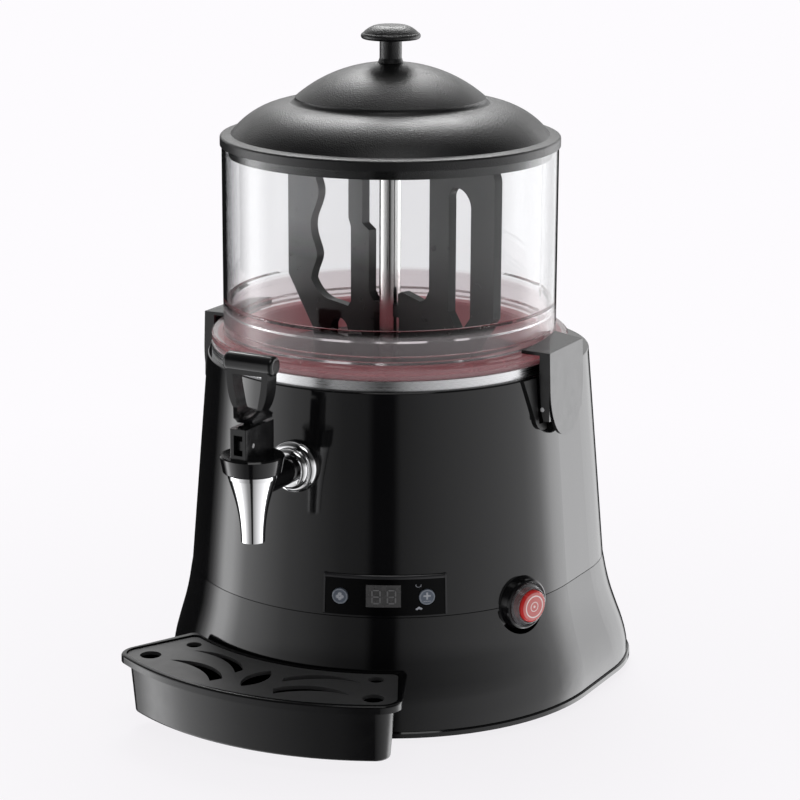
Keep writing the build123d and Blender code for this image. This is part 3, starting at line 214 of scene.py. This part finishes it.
def paddle_satin():
    """Black moulding of the paddle: near black low down, with a painted sheen of lighter grey up the left
    wing.
    """
    s = Shader("paddle_satin")
    split = s.node("ShaderNodeSeparateXYZ")
    s.link(s.coords, split.inputs[0])
    # painted sheen: lighter grey higher up and towards the left wing, standing in for reflected light
    high = s.span(split.outputs[2], PADDLE_SHEEN_FROM, PADDLE_SHEEN_FULL)
    left = s.span(split.outputs[0], PADDLE_RIGHT, PADDLE_LEFT, PADDLE_RIGHT_SHEEN_SHARE, 1.0)
    painted_sheen = s.math("MULTIPLY", high, left)
    s.color(s.math("MULTIPLY", painted_sheen, s.span(s.noise(30.0, 3.0), 0.3, 0.7, 0.85, 1.0)),
            (0.0030, 0.0030, 0.0033), (0.360, 0.360, 0.366))
    s.roughness(s.noise(90.0, 4.0, 0.6), 0.26, 0.38)
    s.constants(Specular_IOR_Level=0.25)
    s.bump(s.noise(240.0, 2.0), 0.02, 0.0002)
    return s.material


def matte_black():
    """Matte black moulding with sparkle-fine texture."""
    s = Shader("black_matte")
    s.color(s.noise(120.0, 4.0), (0.0095, 0.0095, 0.0100), (0.0160, 0.0160, 0.0165))
    s.roughness(s.noise(45.0, 3.0), 0.46, 0.62)
    s.bump(s.noise(1500.0, 3.0), 0.25, 0.0003)
    return s.material


def clear_plastic():
    """Clear moulded bowl: painted shade where the wall is seen edge-on; hazy in the thick foot, which also
    carries a painted pink for the red gasket's light seen through it.
    """
    s = Shader("clear_bowl")
    s.constants(IOR=BOWL_IOR)
    edge = s.node("ShaderNodeLayerWeight")
    edge.inputs["Blend"].default_value = 0.5
    body = s.mix(s.noise(5.0), (0.910, 0.915, 0.915), (0.885, 0.893, 0.893))
    # painted shade: grey transmission where the wall is seen edge-on, kept out of the foot
    painted_edge_shade = s.span(edge.outputs["Facing"], EDGE_FROM, EDGE_FULL)
    split = s.node("ShaderNodeSeparateXYZ")
    s.link(s.coords, split.inputs[0])
    foot = s.span(split.outputs[2], FOOT_TOP, FOOT_TOP - FOOT_FADE)
    with_edge_shade = s.mix(s.math("MULTIPLY", painted_edge_shade, s.math("SUBTRACT", 1.0, foot)), body, (0.56, 0.56, 0.57))
    # painted reflection: the foot is tinted pink to stand in for the red gasket's light seen through it
    s.color(foot, with_edge_shade, (0.87, 0.81, 0.82))
    s.link(s.span(foot, 0.0, 1.0, 1.0, 0.84), s.bsdf.inputs["Transmission Weight"])
    cloud = s.span(s.noise(60.0, 4.0, 0.6), 0.3, 0.7, 0.0, 0.03)
    s.link(s.math("ADD", cloud, s.math("MULTIPLY", foot, 0.11)), s.bsdf.inputs["Roughness"])
    s.bump(s.noise(14.0, 2.0), 0.06, 0.0006)
    return s.material


def turned_steel():
    """Stainless steel brushed round the machine's axis."""
    s = Shader("stainless")
    s.constants(Metallic=1.0)
    split = s.node("ShaderNodeSeparateXYZ")
    s.link(s.coords, split.inputs[0])
    radius = s.math("SQRT", s.math("ADD", s.math("POWER", split.outputs[0], 2.0),
                                   s.math("POWER", split.outputs[1], 2.0)))
    join = s.node("ShaderNodeCombineXYZ")
    s.link(radius, join.inputs[0])
    s.link(split.outputs[2], join.inputs[1])
    lines = s.noise(1300.0, 2.0, 0.6, join.outputs[0])
    s.color(lines, (0.60, 0.60, 0.61), (0.78, 0.78, 0.79))
    s.roughness(lines, 0.20, 0.34)
    s.bump(lines, 0.10, 0.0002)
    return s.material


def polished_tube():
    """Polished stainless tube, drawn along Z."""
    s = Shader("polished_tube")
    s.constants(Metallic=1.0)
    lines = s.noise(700.0, 2.0, 0.5, s.scaled((1.0, 1.0, 0.004)))
    s.color(lines, (0.62, 0.61, 0.60), (0.80, 0.79, 0.78))
    s.roughness(lines, 0.10, 0.20)
    s.bump(lines, 0.05, 0.0001)
    return s.material


def chrome():
    """Polished chrome with faint hazing."""
    s = Shader("chrome")
    s.constants(Metallic=1.0)
    s.color(s.noise(40.0), (0.84, 0.84, 0.85), (0.92, 0.92, 0.93))
    s.roughness(s.noise(180.0, 4.0), 0.03, 0.09)
    s.bump(s.noise(60.0, 2.0), 0.03, 0.0003)
    return s.material


def bright_steel():
    """Drawn steel of pins, screws and the shaft, with lines along Z."""
    s = Shader("steel_hardware")
    s.constants(Metallic=1.0)
    lines = s.noise(900.0, 3.0, 0.5, s.scaled((1.0, 1.0, 0.03)))
    s.color(lines, (0.52, 0.52, 0.53), (0.70, 0.70, 0.71))
    s.roughness(lines, 0.20, 0.36)
    s.bump(lines, 0.08, 0.0001)
    return s.material


def zinc_sheet():
    s = Shader("zinc_sheet")
    s.constants(Metallic=1.0)
    flakes = s.cells(160.0)
    s.color(flakes, (0.50, 0.52, 0.55), (0.66, 0.68, 0.70))
    s.roughness(s.noise(90.0), 0.32, 0.48)
    s.bump(s.noise(500.0), 0.08, 0.0002)
    return s.material


def soft_rubber(name, dark, light, low, high, glow=0.0):
    s = Shader(name)
    s.constants(Emission_Color=(*light, 1.0), Emission_Strength=glow)
    s.color(s.noise(60.0, 4.0), dark, light)
    s.roughness(s.noise(150.0), low, high)
    s.bump(s.noise(900.0, 3.0), 0.18, 0.0003)
    return s.material


def enamel():
    s = Shader("motor_paint")
    s.color(s.noise(25.0), (0.055, 0.060, 0.070), (0.085, 0.090, 0.105))
    s.roughness(s.noise(80.0), 0.30, 0.45)
    s.bump(s.noise(260.0, 3.0), 0.20, 0.0004)
    return s.material


def circuit_board():
    s = Shader("circuit_board")
    tracks = s.node("ShaderNodeTexBrick")
    tracks.inputs["Scale"].default_value = 120.0
    s.link(s.coords, tracks.inputs["Vector"])
    s.color(tracks.outputs["Fac"], (0.010, 0.120, 0.050), (0.030, 0.240, 0.110))
    s.roughness(s.noise(120.0), 0.28, 0.40)
    s.bump(tracks.outputs["Fac"], 0.20, 0.0002)
    return s.material


def bronze():
    s = Shader("brass_bush")
    s.constants(Metallic=1.0)
    s.color(s.noise(300.0, 4.0), (0.45, 0.29, 0.11), (0.66, 0.46, 0.20))
    s.roughness(s.noise(500.0), 0.35, 0.55)
    s.bump(s.cells(1200.0), 0.15, 0.0002)
    return s.material


def glowing_print(name, dark, light, strength):
    """Light print on the control panel, with a faint painted glow though it is no lamp."""
    s = Shader(name)
    s.constants(Emission_Color=(*light, 1.0), Emission_Strength=strength)
    s.color(s.noise(900.0, 3.0), dark, light)
    s.roughness(s.noise(500.0), 0.28, 0.42)
    s.bump(s.noise(2200.0), 0.06, 0.0001)
    return s.material


def frosted(name, tint_dark, tint_light, weight, low, high):
    """Tinted translucent plastic of the switch's collar."""
    s = Shader(name)
    s.constants(Transmission_Weight=weight, IOR=1.42)
    s.color(s.noise(260.0, 3.0), tint_dark, tint_light)
    s.roughness(s.noise(400.0), low, high)
    s.bump(s.noise(900.0), 0.05, 0.0001)
    return s.material


def membrane():
    """Glossy black control panel with faint print texture."""
    s = Shader("panel_black")
    s.constants(Specular_IOR_Level=0.12)
    s.color(s.noise(20.0), (0.0006, 0.0006, 0.0008), (0.0014, 0.0014, 0.0017))
    s.roughness(s.noise(110.0, 4.0), 0.16, 0.28)
    s.bump(s.noise(900.0), 0.05, 0.0001)
    return s.material


def smoked_window():
    s = Shader("display_smoke")
    s.color(s.noise(260.0, 3.0), (0.066, 0.066, 0.066), (0.084, 0.083, 0.082))
    s.roughness(s.noise(150.0), 0.20, 0.32)
    s.bump(s.noise(1200.0), 0.06, 0.0001)
    return s.material


def lamp_plastic():
    s = Shader("lamp_white")
    s.color(s.noise(400.0), (0.42, 0.40, 0.38), (0.60, 0.57, 0.54))
    s.roughness(s.noise(300.0), 0.25, 0.40)
    s.bump(s.noise(1500.0), 0.10, 0.0001)
    return s.material


def button_metal():
    s = Shader("button_blue_grey")
    s.constants(Metallic=0.35)
    s.color(s.noise(700.0, 4.0), (0.10, 0.12, 0.155), (0.16, 0.185, 0.23))
    s.roughness(s.noise(300.0), 0.30, 0.42)
    s.bump(s.noise(1800.0), 0.10, 0.0001)
    return s.material


def switch_red():
    s = Shader("switch_red")
    # painted glow: the red button glows faintly though it is no lamp
    s.constants(Emission_Color=(0.9, 0.05, 0.04, 1.0), Emission_Strength=0.10)
    s.color(s.noise(120.0, 3.0), (0.42, 0.012, 0.014), (0.62, 0.035, 0.035))
    s.roughness(s.noise(200.0), 0.15, 0.28)
    s.bump(s.noise(800.0), 0.08, 0.0002)
    return s.material


MATERIALS = {
    "black_gloss": moulded_gloss(),
    "black_satin": smooth_satin("black_satin", 0.15, 0.26),
    "black_matte": matte_black(),
    "clear_bowl": clear_plastic(),
    "stainless": turned_steel(),
    "chrome": chrome(),
    "steel_hardware": bright_steel(),
    "zinc_sheet": zinc_sheet(),
    "red_silicone": soft_rubber("red_silicone", (0.42, 0.115, 0.140), (0.56, 0.190, 0.215), 0.35, 0.50,
                                GASKET_PAINTED_GLOW),
    "foot_rubber": soft_rubber("foot_rubber", (0.010, 0.010, 0.010), (0.022, 0.022, 0.022), 0.65, 0.85),
    "motor_paint": enamel(),
    "circuit_board": circuit_board(),
    "brass_bush": bronze(),
    "panel_black": membrane(),
    "display_smoke": smoked_window(),
    "lamp_white": lamp_plastic(),
    "button_blue_grey": button_metal(),
    "switch_red": switch_red(),
}
# finishes of single pieces that share a slot with others
FINISHES = {
    "lid": leather_satin(),
    "standpipe": polished_tube(),
    "agitator": paddle_satin(),
    "drip_grid": smooth_satin("grid_satin", 0.40, 0.50, (0.075, 0.075, 0.076), (0.095, 0.095, 0.096)),
    "drip_tray": smooth_satin("tray_satin", 0.17, 0.25, specular=0.42),
    # painted shade: the latch brackets are a darker black to stand in for the shade the latches cast on
    # them
    "latch_bracket_right": smooth_satin("pad_satin_painted_shade", 0.34, 0.46, (0.0012, 0.0012, 0.0014),
                                        (0.0022, 0.0022, 0.0025)),
}
FINISHES["lid_knob"] = FINISHES["lid"]
FINISHES["status_lamps"] = MATERIALS["panel_black"]
FINISHES["latch_bracket_left"] = FINISHES["latch_bracket_right"]
for part in frame["record"]["subparts"]:
    slots = NODES[part["node"]].data.materials
    for index in range(len(slots)):
        slots[index] = FINISHES.get(part["node"]) or MATERIALS[part["material_slot"]]

# softened edges of the moulded pieces, widths in millimetres
SOFT_ANGLE = radians(32)       # sharper edges than this are softened
for name, width in (("tap_lever", 1.2), ("tap_bonnet", 0.9), ("latch_right", 0.8), ("latch_left", 0.8),
                    ("latch_bracket_right", 0.8), ("latch_bracket_left", 0.8), ("agitator", 0.6),
                    ("drip_grid", 0.5)):
    soften = NODES[name].modifiers.new("soft_edges", "BEVEL")
    soften.width = width / 1000
    soften.segments = 3
    soften.limit_method = "ANGLE"
    soften.angle_limit = SOFT_ANGLE

# ---------------------------------------------------------------- piece builders
SEAM_Z, SEAM_R, TOP_Z, TOP_R = 85.0, 141.0, 237.0, 128.5    # millimetres, as the housing's wall
# painted glow: the print, display digits, button rims and switch print glow faintly though none is a lamp
PRINT = glowing_print("panel_print", (0.20, 0.21, 0.23), (0.46, 0.48, 0.52), 0.10)
SEGMENT = glowing_print("display_segment", (0.125, 0.126, 0.128), (0.170, 0.171, 0.173), 0.04)
RIM_PRINT = glowing_print("button_rim", (0.16, 0.18, 0.21), (0.26, 0.29, 0.33), 0.05)
FRAME_EDGE = smooth_satin("panel_frame", 0.16, 0.28, (0.016, 0.016, 0.017), (0.030, 0.030, 0.032))
COLLAR = frosted("switch_collar", (0.34, 0.33, 0.34), (0.46, 0.45, 0.46), 0.75, 0.10, 0.22)
FACE = frosted("switch_face", (0.80, 0.22, 0.22), (0.90, 0.34, 0.32), 0.25, 0.12, 0.24)
WHITE = glowing_print("switch_print", (0.70, 0.58, 0.56), (0.86, 0.76, 0.74), 0.12)
SHARP_ANGLE = radians(35)      # edges of the added pieces stay crisp from here on


def wall_radius(z):
    return SEAM_R + (TOP_R - SEAM_R) * (z - SEAM_Z) / (TOP_Z - SEAM_Z)


def wall_frame(degrees, radius, z):
    """Frame on the round wall: x to the right as seen from outside, y up, z out. Millimetres in."""
    a = radians(degrees)
    return Matrix(((cos(a), 0, sin(a), radius * sin(a) / 1000),
                   (sin(a), 0, -cos(a), -radius * cos(a) / 1000),
                   (0, 1, 0, z / 1000),
                   (0, 0, 0, 1)))


def piece(name, mesh_builder, material, body):
    """Finish a bmesh as one piece of the machine: smooth by angle, material, slot and body."""
    bmesh.ops.recalc_face_normals(mesh_builder, faces=mesh_builder.faces)
    mesh = bpy.data.meshes.new(name)
    mesh_builder.to_mesh(mesh)
    mesh_builder.free()
    mesh.materials.append(material)
    made = bpy.data.objects.new(name, mesh)
    SCENE.collection.objects.link(made)
    for face in mesh.polygons:
        face.use_smooth = True
    mesh.set_sharp_from_angle(angle=SHARP_ANGLE)
    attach(made, body)
    return made


def add_lathe(shape, profile, place, segments=72, flutes=0, depth=0.0):
    """Closed profile of (radius, height) in mm turned round the z axis of the frame place."""
    rings = []
    for radius, height in profile:
        ring = []
        for index in range(segments):
            a = 2 * pi * index / segments
            r = radius * (1 + depth * cos(flutes * a)) / 1000
            ring.append(shape.verts.new(place @ Vector((r * cos(a), r * sin(a), height / 1000))))
        rings.append(ring)
    for first, second in zip(rings, rings[1:] + rings[:1]):
        for index in range(segments):
            follow = (index + 1) % segments
            shape.faces.new((first[index], first[follow], second[follow], second[index]))


def add_plate(shape, outline, place, low, high):
    """Flat piece with a straight-sided outline in mm, between two heights over the frame place."""
    levels = [[shape.verts.new(place @ Vector((x / 1000, y / 1000, h / 1000))) for x, y in outline]
              for h in (low, high)]
    shape.faces.new(levels[0])
    shape.faces.new(levels[1])
    for index in range(len(outline)):
        follow = (index + 1) % len(outline)
        shape.faces.new((levels[0][index], levels[0][follow], levels[1][follow], levels[1][index]))


def add_wall_strip(shape, profile, start, end, steps):
    """Section of (height over the wall, z) in mm swept round the wall from start to end degrees."""
    sections = []
    for step in range(steps + 1):
        a = radians(start + (end - start) * step / steps)
        sections.append([shape.verts.new(Vector((
            (wall_radius(z) + lift) * sin(a), -(wall_radius(z) + lift) * cos(a), z)) / 1000)
            for lift, z in profile])
    for first, second in zip(sections, sections[1:]):
        for index in range(len(profile)):
            follow = (index + 1) % len(profile)
            shape.faces.new((first[index], first[follow], second[follow], second[index]))
    shape.faces.new(sections[0])
    shape.faces.new(sections[-1])


def disc_outline(radius, x=0.0, y=0.0, squash=1.0, count=20):
    return [(x + radius * cos(2 * pi * i / count), y + radius * squash * sin(2 * pi * i / count))
            for i in range(count)]


# ---------------------------------------------------------------- control panel details
PANEL_FROM, PANEL_TO, PANEL_LOW, PANEL_HIGH = 10.3, 44.2, 86.6, 114.0
BUTTON_Z = 99.2
DISPLAY_Z, DIGIT_TURNS = 99.6, (24.8, 29.0)
DIGIT_HALF, DIGIT_THIN = 2.1, 0.5
MARK_HIGH, MARK_LOW = (36.4, 107.2), (36.5, 91.4)      # turn in degrees and height of the two panel marks
MARK_LIFT = 1.25

shape = bmesh.new()
strip = ((0.6, PANEL_HIGH - 2.4), (1.7, PANEL_HIGH - 2.4), (1.95, PANEL_HIGH - 1.9),
         (1.8, PANEL_HIGH - 0.5), (1.2, PANEL_HIGH + 0.15), (0.0, PANEL_HIGH + 0.15))
add_wall_strip(shape, strip, PANEL_FROM + 0.1, PANEL_TO - 0.1, 48)
for start, end in ((PANEL_FROM - 0.1, PANEL_FROM + 0.42), (PANEL_TO - 0.42, PANEL_TO + 0.1)):
    side = ((0.0, PANEL_LOW - 0.3), (1.5, PANEL_LOW - 0.3), (2.1, PANEL_LOW + 0.3),
            (2.1, PANEL_HIGH - 0.2), (1.5, PANEL_HIGH + 0.4), (0.0, PANEL_HIGH + 0.4))
    add_wall_strip(shape, side, start, end, 2)
piece("panel_frame", shape, FRAME_EDGE, "machine")

shape = bmesh.new()
for middle in DIGIT_TURNS:
    place = wall_frame(middle, wall_radius(DISPLAY_Z) + 1.5, DISPLAY_Z)
    for x, y, wide in ((0, 4.6, True), (0, 0, True), (0, -4.6, True),
                       (-2.7, 2.3, False), (2.7, 2.3, False), (-2.7, -2.3, False), (2.7, -2.3, False)):
        half, thin = DIGIT_HALF, DIGIT_THIN
        bar = ((-half, 0), (-half + thin, thin), (half - thin, thin), (half, 0), (half - thin, -thin),
               (-half + thin, -thin))
        outline = [(x + (u if wide else v), y + (v if wide else u)) for u, v in bar]
        add_plate(shape, outline, place, 0.0, 0.12)
piece("display_digits", shape, SEGMENT, "machine")

# generic marks by the right-hand button: an open loop above it and a small heap below
shape = bmesh.new()
place = wall_frame(MARK_HIGH[0], wall_radius(MARK_HIGH[1]) + MARK_LIFT, MARK_HIGH[1])
for index in range(9):
    a0, a1 = radians(150 + index * 26), radians(150 + (index + 1) * 26 - 5)
    add_plate(shape, [(2.0 * cos(a0), 1.4 * sin(a0)), (2.0 * cos(a1), 1.4 * sin(a1)),
                      (1.6 * cos(a1), 1.1 * sin(a1)), (1.6 * cos(a0), 1.1 * sin(a0))], place, 0.0, 0.15)
place = wall_frame(MARK_LOW[0], wall_radius(MARK_LOW[1]) + MARK_LIFT, MARK_LOW[1])
for x, y, size in ((-1.4, -0.4, 0.85), (0.0, 0.35, 1.1), (1.4, -0.2, 0.85)):
    add_plate(shape, disc_outline(size, x, y, 0.8, 14), place, 0.0, 0.15)
piece("panel_marks", shape, PRINT, "machine")

for body, degrees in (("button_set", 14.9), ("button_plus", 38.7)):
    place = wall_frame(degrees, wall_radius(BUTTON_Z), BUTTON_Z)
    shape = bmesh.new()
    add_lathe(shape, ((4.5, 2.1), (5.05, 2.1), (5.25, 2.3), (5.1, 2.5), (4.6, 2.5), (4.4, 2.3)), place)
    piece(body + "_rim", shape, RIM_PRINT, body)
    shape = bmesh.new()
    if body == "button_plus":
        arm, thin = 2.5, 0.55
        add_plate(shape, [(-thin, thin + 0.8), (-thin, arm + 0.8), (thin, arm + 0.8), (thin, thin + 0.8),
                          (arm, thin + 0.8), (arm, 0.8 - thin), (thin, 0.8 - thin), (thin, 0.8 - arm),
                          (-thin, 0.8 - arm), (-thin, 0.8 - thin), (-arm, 0.8 - thin), (-arm, thin + 0.8)],
                  place, 2.15, 2.4)
        for x in (-2.0, -0.7, 0.6, 1.9):
            add_plate(shape, [(x - 0.45, -3.2), (x + 0.45, -3.2), (x + 0.45, -2.7), (x - 0.45, -2.7)],
                      place, 2.15, 2.35)
    else:
        for x, y, size in ((0.0, 1.5, 1.3), (-1.6, -0.3, 1.2), (1.6, -0.3, 1.2), (0.0, -1.6, 1.2)):
            add_plate(shape, disc_outline(size, x, y, 1.0, 16), place, 2.15, 2.4)
    piece(body + "_icon", shape, PRINT, body)

# ---------------------------------------------------------------- power switch details
SWITCH_TURN, SWITCH_R, SWITCH_Z = 68.4, 141.0, 85.0
RIB_COUNT, RIB_DEPTH = 30, 0.012
place = wall_frame(SWITCH_TURN, SWITCH_R, SWITCH_Z)
shape = bmesh.new()
ring = ((14.6, 3.4), (17.4, 3.4), (17.7, 4.0), (17.2, 5.2), (16.2, 5.8), (15.0, 5.4), (14.6, 4.4))
add_lathe(shape, ring, place)
piece("switch_ring", shape, MATERIALS["black_gloss"], "machine")
shape = bmesh.new()
add_lathe(shape, ((11.3, 9.6), (11.9, 9.9), (12.5, 9.6), (15.2, 4.6), (14.2, 4.6)), place)
piece("switch_collar", shape, COLLAR, "machine")
shape = bmesh.new()
add_lathe(shape, ((10.2, 4.4), (10.9, 4.4), (11.05, 8.6), (10.2, 8.6)), place, 240, RIB_COUNT, RIB_DEPTH)
piece("button_ribs", shape, MATERIALS["switch_red"], "power_button")
shape = bmesh.new()
add_lathe(shape, ((0.02, 11.9), (9.9, 11.9), (9.6, 12.35), (8.4, 12.5), (0.02, 12.5)), place)
piece("button_cap", shape, FACE, "power_button")
shape = bmesh.new()
for low, high in ((7.0, 7.9), (2.9, 3.5)):
    add_lathe(shape, ((low, 12.45), (high, 12.45), (high, 12.62), (low, 12.62)), place)
add_plate(shape, disc_outline(0.9), place, 12.45, 12.62)
piece("button_print", shape, WHITE, "power_button")

# ---------------------------------------------------------------- studio
BACKDROP = (0.982, 0.965, 0.991)
# band of light that the gloss reflects: degrees round from the camera's side, left negative, and brightness
PANELS = ((-180, 0.01), (-130, 0.01), (-124, 0.28), (-119, 0.9), (-114, 2.3), (-110, 3.7), (-103, 4.2),
          (-97, 3.3), (-91, 2.2), (-60, 0.86), (-38, 0.44), (-28, 0.28), (-13, 0.20), (-9, 0.01), (3, 0.01),
          (7, 0.30), (31, 0.60), (60, 0.95), (88, 1.3), (100, 1.8), (112, 3.3), (126, 3.2), (143, 1.9),
          (156, 1.4), (162, 0.02), (180, 0.01))
PANEL_PEAK = 5.0
BAND_LOW, BAND_HIGH, BAND_LEFT_OVER = 0.03, 0.38, 0.05  # where the band fades upwards, and to what share
REAR_WALL = 0.85               # brightness of the pale wall behind the machine
REAR_FROM, REAR_FULL = radians(118), radians(150)
REAR_LOW, REAR_HIGH = -0.02, 0.10

world = bpy.data.worlds.new("studio")
SCENE.world = world
world.use_nodes = True
tree = world.node_tree
background = tree.nodes["Background"]


def world_node(kind, **settings):
    made = tree.nodes.new(kind)
    for key, value in settings.items():
        setattr(made, key, value)
    return made


def world_math(operation, first, second=None):
    made = world_node("ShaderNodeMath", operation=operation)
    for socket, value in zip(made.inputs, (first, second)):
        if isinstance(value, float):
            socket.default_value = value
        elif value is not None:
            tree.links.new(value, socket)
    return made.outputs[0]


def world_span(value, low, high, to_low=0.0, to_high=1.0, curve="LINEAR"):
    made = world_node("ShaderNodeMapRange", interpolation_type=curve)
    made.inputs["From Min"].default_value = low
    made.inputs["From Max"].default_value = high
    made.inputs["To Min"].default_value = to_low
    made.inputs["To Max"].default_value = to_high
    tree.links.new(value, made.inputs["Value"])
    return made.outputs["Result"]


def world_dot(vector, direction):
    made = world_node("ShaderNodeVectorMath", operation="DOT_PRODUCT")
    tree.links.new(vector, made.inputs[0])
    made.inputs[1].default_value = direction
    return made.outputs["Value"]


where = world_node("ShaderNodeTexCoord").outputs["Generated"]
height = world_dot(where, (0, 0, 1))
turn = world_math("ARCTAN2", world_dot(where, (cos(VIEW_AZIMUTH), sin(VIEW_AZIMUTH), 0)),
                  world_dot(where, (sin(VIEW_AZIMUTH), -cos(VIEW_AZIMUTH), 0)))
ramp = world_node("ShaderNodeValToRGB")
stops = ramp.color_ramp.elements
for degrees, brightness in PANELS:
    spot = degrees / 360 + 0.5
    stop = {0.0: stops[0], 1.0: stops[-1]}.get(spot) or stops.new(spot)
    value = brightness / PANEL_PEAK
    stop.color = (value, value, value * 1.01, 1)
tree.links.new(world_span(turn, -pi, pi), ramp.inputs["Fac"])
lit = world_node("ShaderNodeBackground")
tree.links.new(world_span(height, BAND_LOW, BAND_HIGH, PANEL_PEAK, PANEL_PEAK * BAND_LEFT_OVER),
               lit.inputs["Strength"])
tree.links.new(ramp.outputs["Color"], lit.inputs["Color"])
behind = world_span(world_math("ABSOLUTE", turn), REAR_FROM, REAR_FULL, curve="SMOOTHSTEP")
above = world_span(height, REAR_LOW, REAR_HIGH, curve="SMOOTHSTEP")
rear_wall = world_node("ShaderNodeBackground")
tree.links.new(world_math("MULTIPLY", behind, above), rear_wall.inputs["Strength"])
rear_wall.inputs["Color"].default_value = (REAR_WALL, REAR_WALL, REAR_WALL, 1)
around = world_node("ShaderNodeAddShader")
tree.links.new(lit.outputs[0], around.inputs[0])
tree.links.new(rear_wall.outputs[0], around.inputs[1])
background.inputs["Color"].default_value = (*BACKDROP, 1)
path = world_node("ShaderNodeLightPath")
# the backdrop shows only to the camera, straight or through the bowl; everything else sees the lights
seen = world_math("MAXIMUM", path.outputs["Is Camera Ray"], path.outputs["Is Transmission Ray"])
bounces = world_math("ADD", path.outputs["Glossy Depth"], path.outputs["Diffuse Depth"])
direct = world_math("MULTIPLY", seen, world_math("LESS_THAN", bounces, 0.5))
choose = world_node("ShaderNodeMixShader")
tree.links.new(direct, choose.inputs[0])
tree.links.new(around.outputs[0], choose.inputs[1])
tree.links.new(background.outputs[0], choose.inputs[2])
tree.links.new(choose.outputs[0], tree.nodes["World Output"].inputs["Surface"])


def softbox(name, position, target, size, energy):
    data = bpy.data.lights.new(name, "AREA")
    data.shape = "RECTANGLE"
    data.size, data.size_y = size
    data.energy = energy
    data.spread = pi
    lamp = bpy.data.objects.new(name, data)
    lamp.location = position
    lamp.rotation_euler = (Vector(target) - Vector(position)).to_track_quat("-Z", "Y").to_euler()
    lamp.visible_camera = False
    lamp.visible_transmission = False
    SCENE.collection.objects.link(lamp)


softbox("front_top_softbox", (0.55, -0.75, 1.9), (0, 0, 0.3), (1.1, 0.8), 5)
softbox("rear_top_softbox", (-0.62, 1.16, 1.62), (0, 0, 0.43), (1.0, 0.7), 18)

FLOOR_R = 6.0
FLOOR_NEAR, FLOOR_FAR, FLOOR_NEAR_SHARE = 0.15, 0.75, 0.86   # the floor shades near the machine only
floor_mesh = bpy.data.meshes.new("floor")
shape = bmesh.new()
bmesh.ops.create_circle(shape, cap_ends=True, segments=96, radius=FLOOR_R)
shape.to_mesh(floor_mesh)
shape.free()
floor = bpy.data.objects.new("floor", floor_mesh)
SCENE.collection.objects.link(floor)
floor.visible_glossy = False
floor.visible_transmission = False
paint = Shader("floor")
out = paint.tree.nodes["Material Output"]
glow = paint.node("ShaderNodeEmission")
glow.inputs["Color"].default_value = (*BACKDROP, 1)
distance = paint.node("ShaderNodeVectorMath", operation="LENGTH")
paint.link(paint.coords, distance.inputs[0])
blend = paint.node("ShaderNodeMixShader")
paint.link(paint.span(distance.outputs["Value"], FLOOR_NEAR, FLOOR_FAR, FLOOR_NEAR_SHARE, 1.0),
           blend.inputs[0])
paint.constants(Roughness=0.9, Base_Color=(0.9, 0.9, 0.9, 1))
paint.link(paint.bsdf.outputs[0], blend.inputs[1])
paint.link(glow.outputs[0], blend.inputs[2])
paint.link(blend.outputs[0], out.inputs["Surface"])
floor_mesh.materials.append(paint.material)
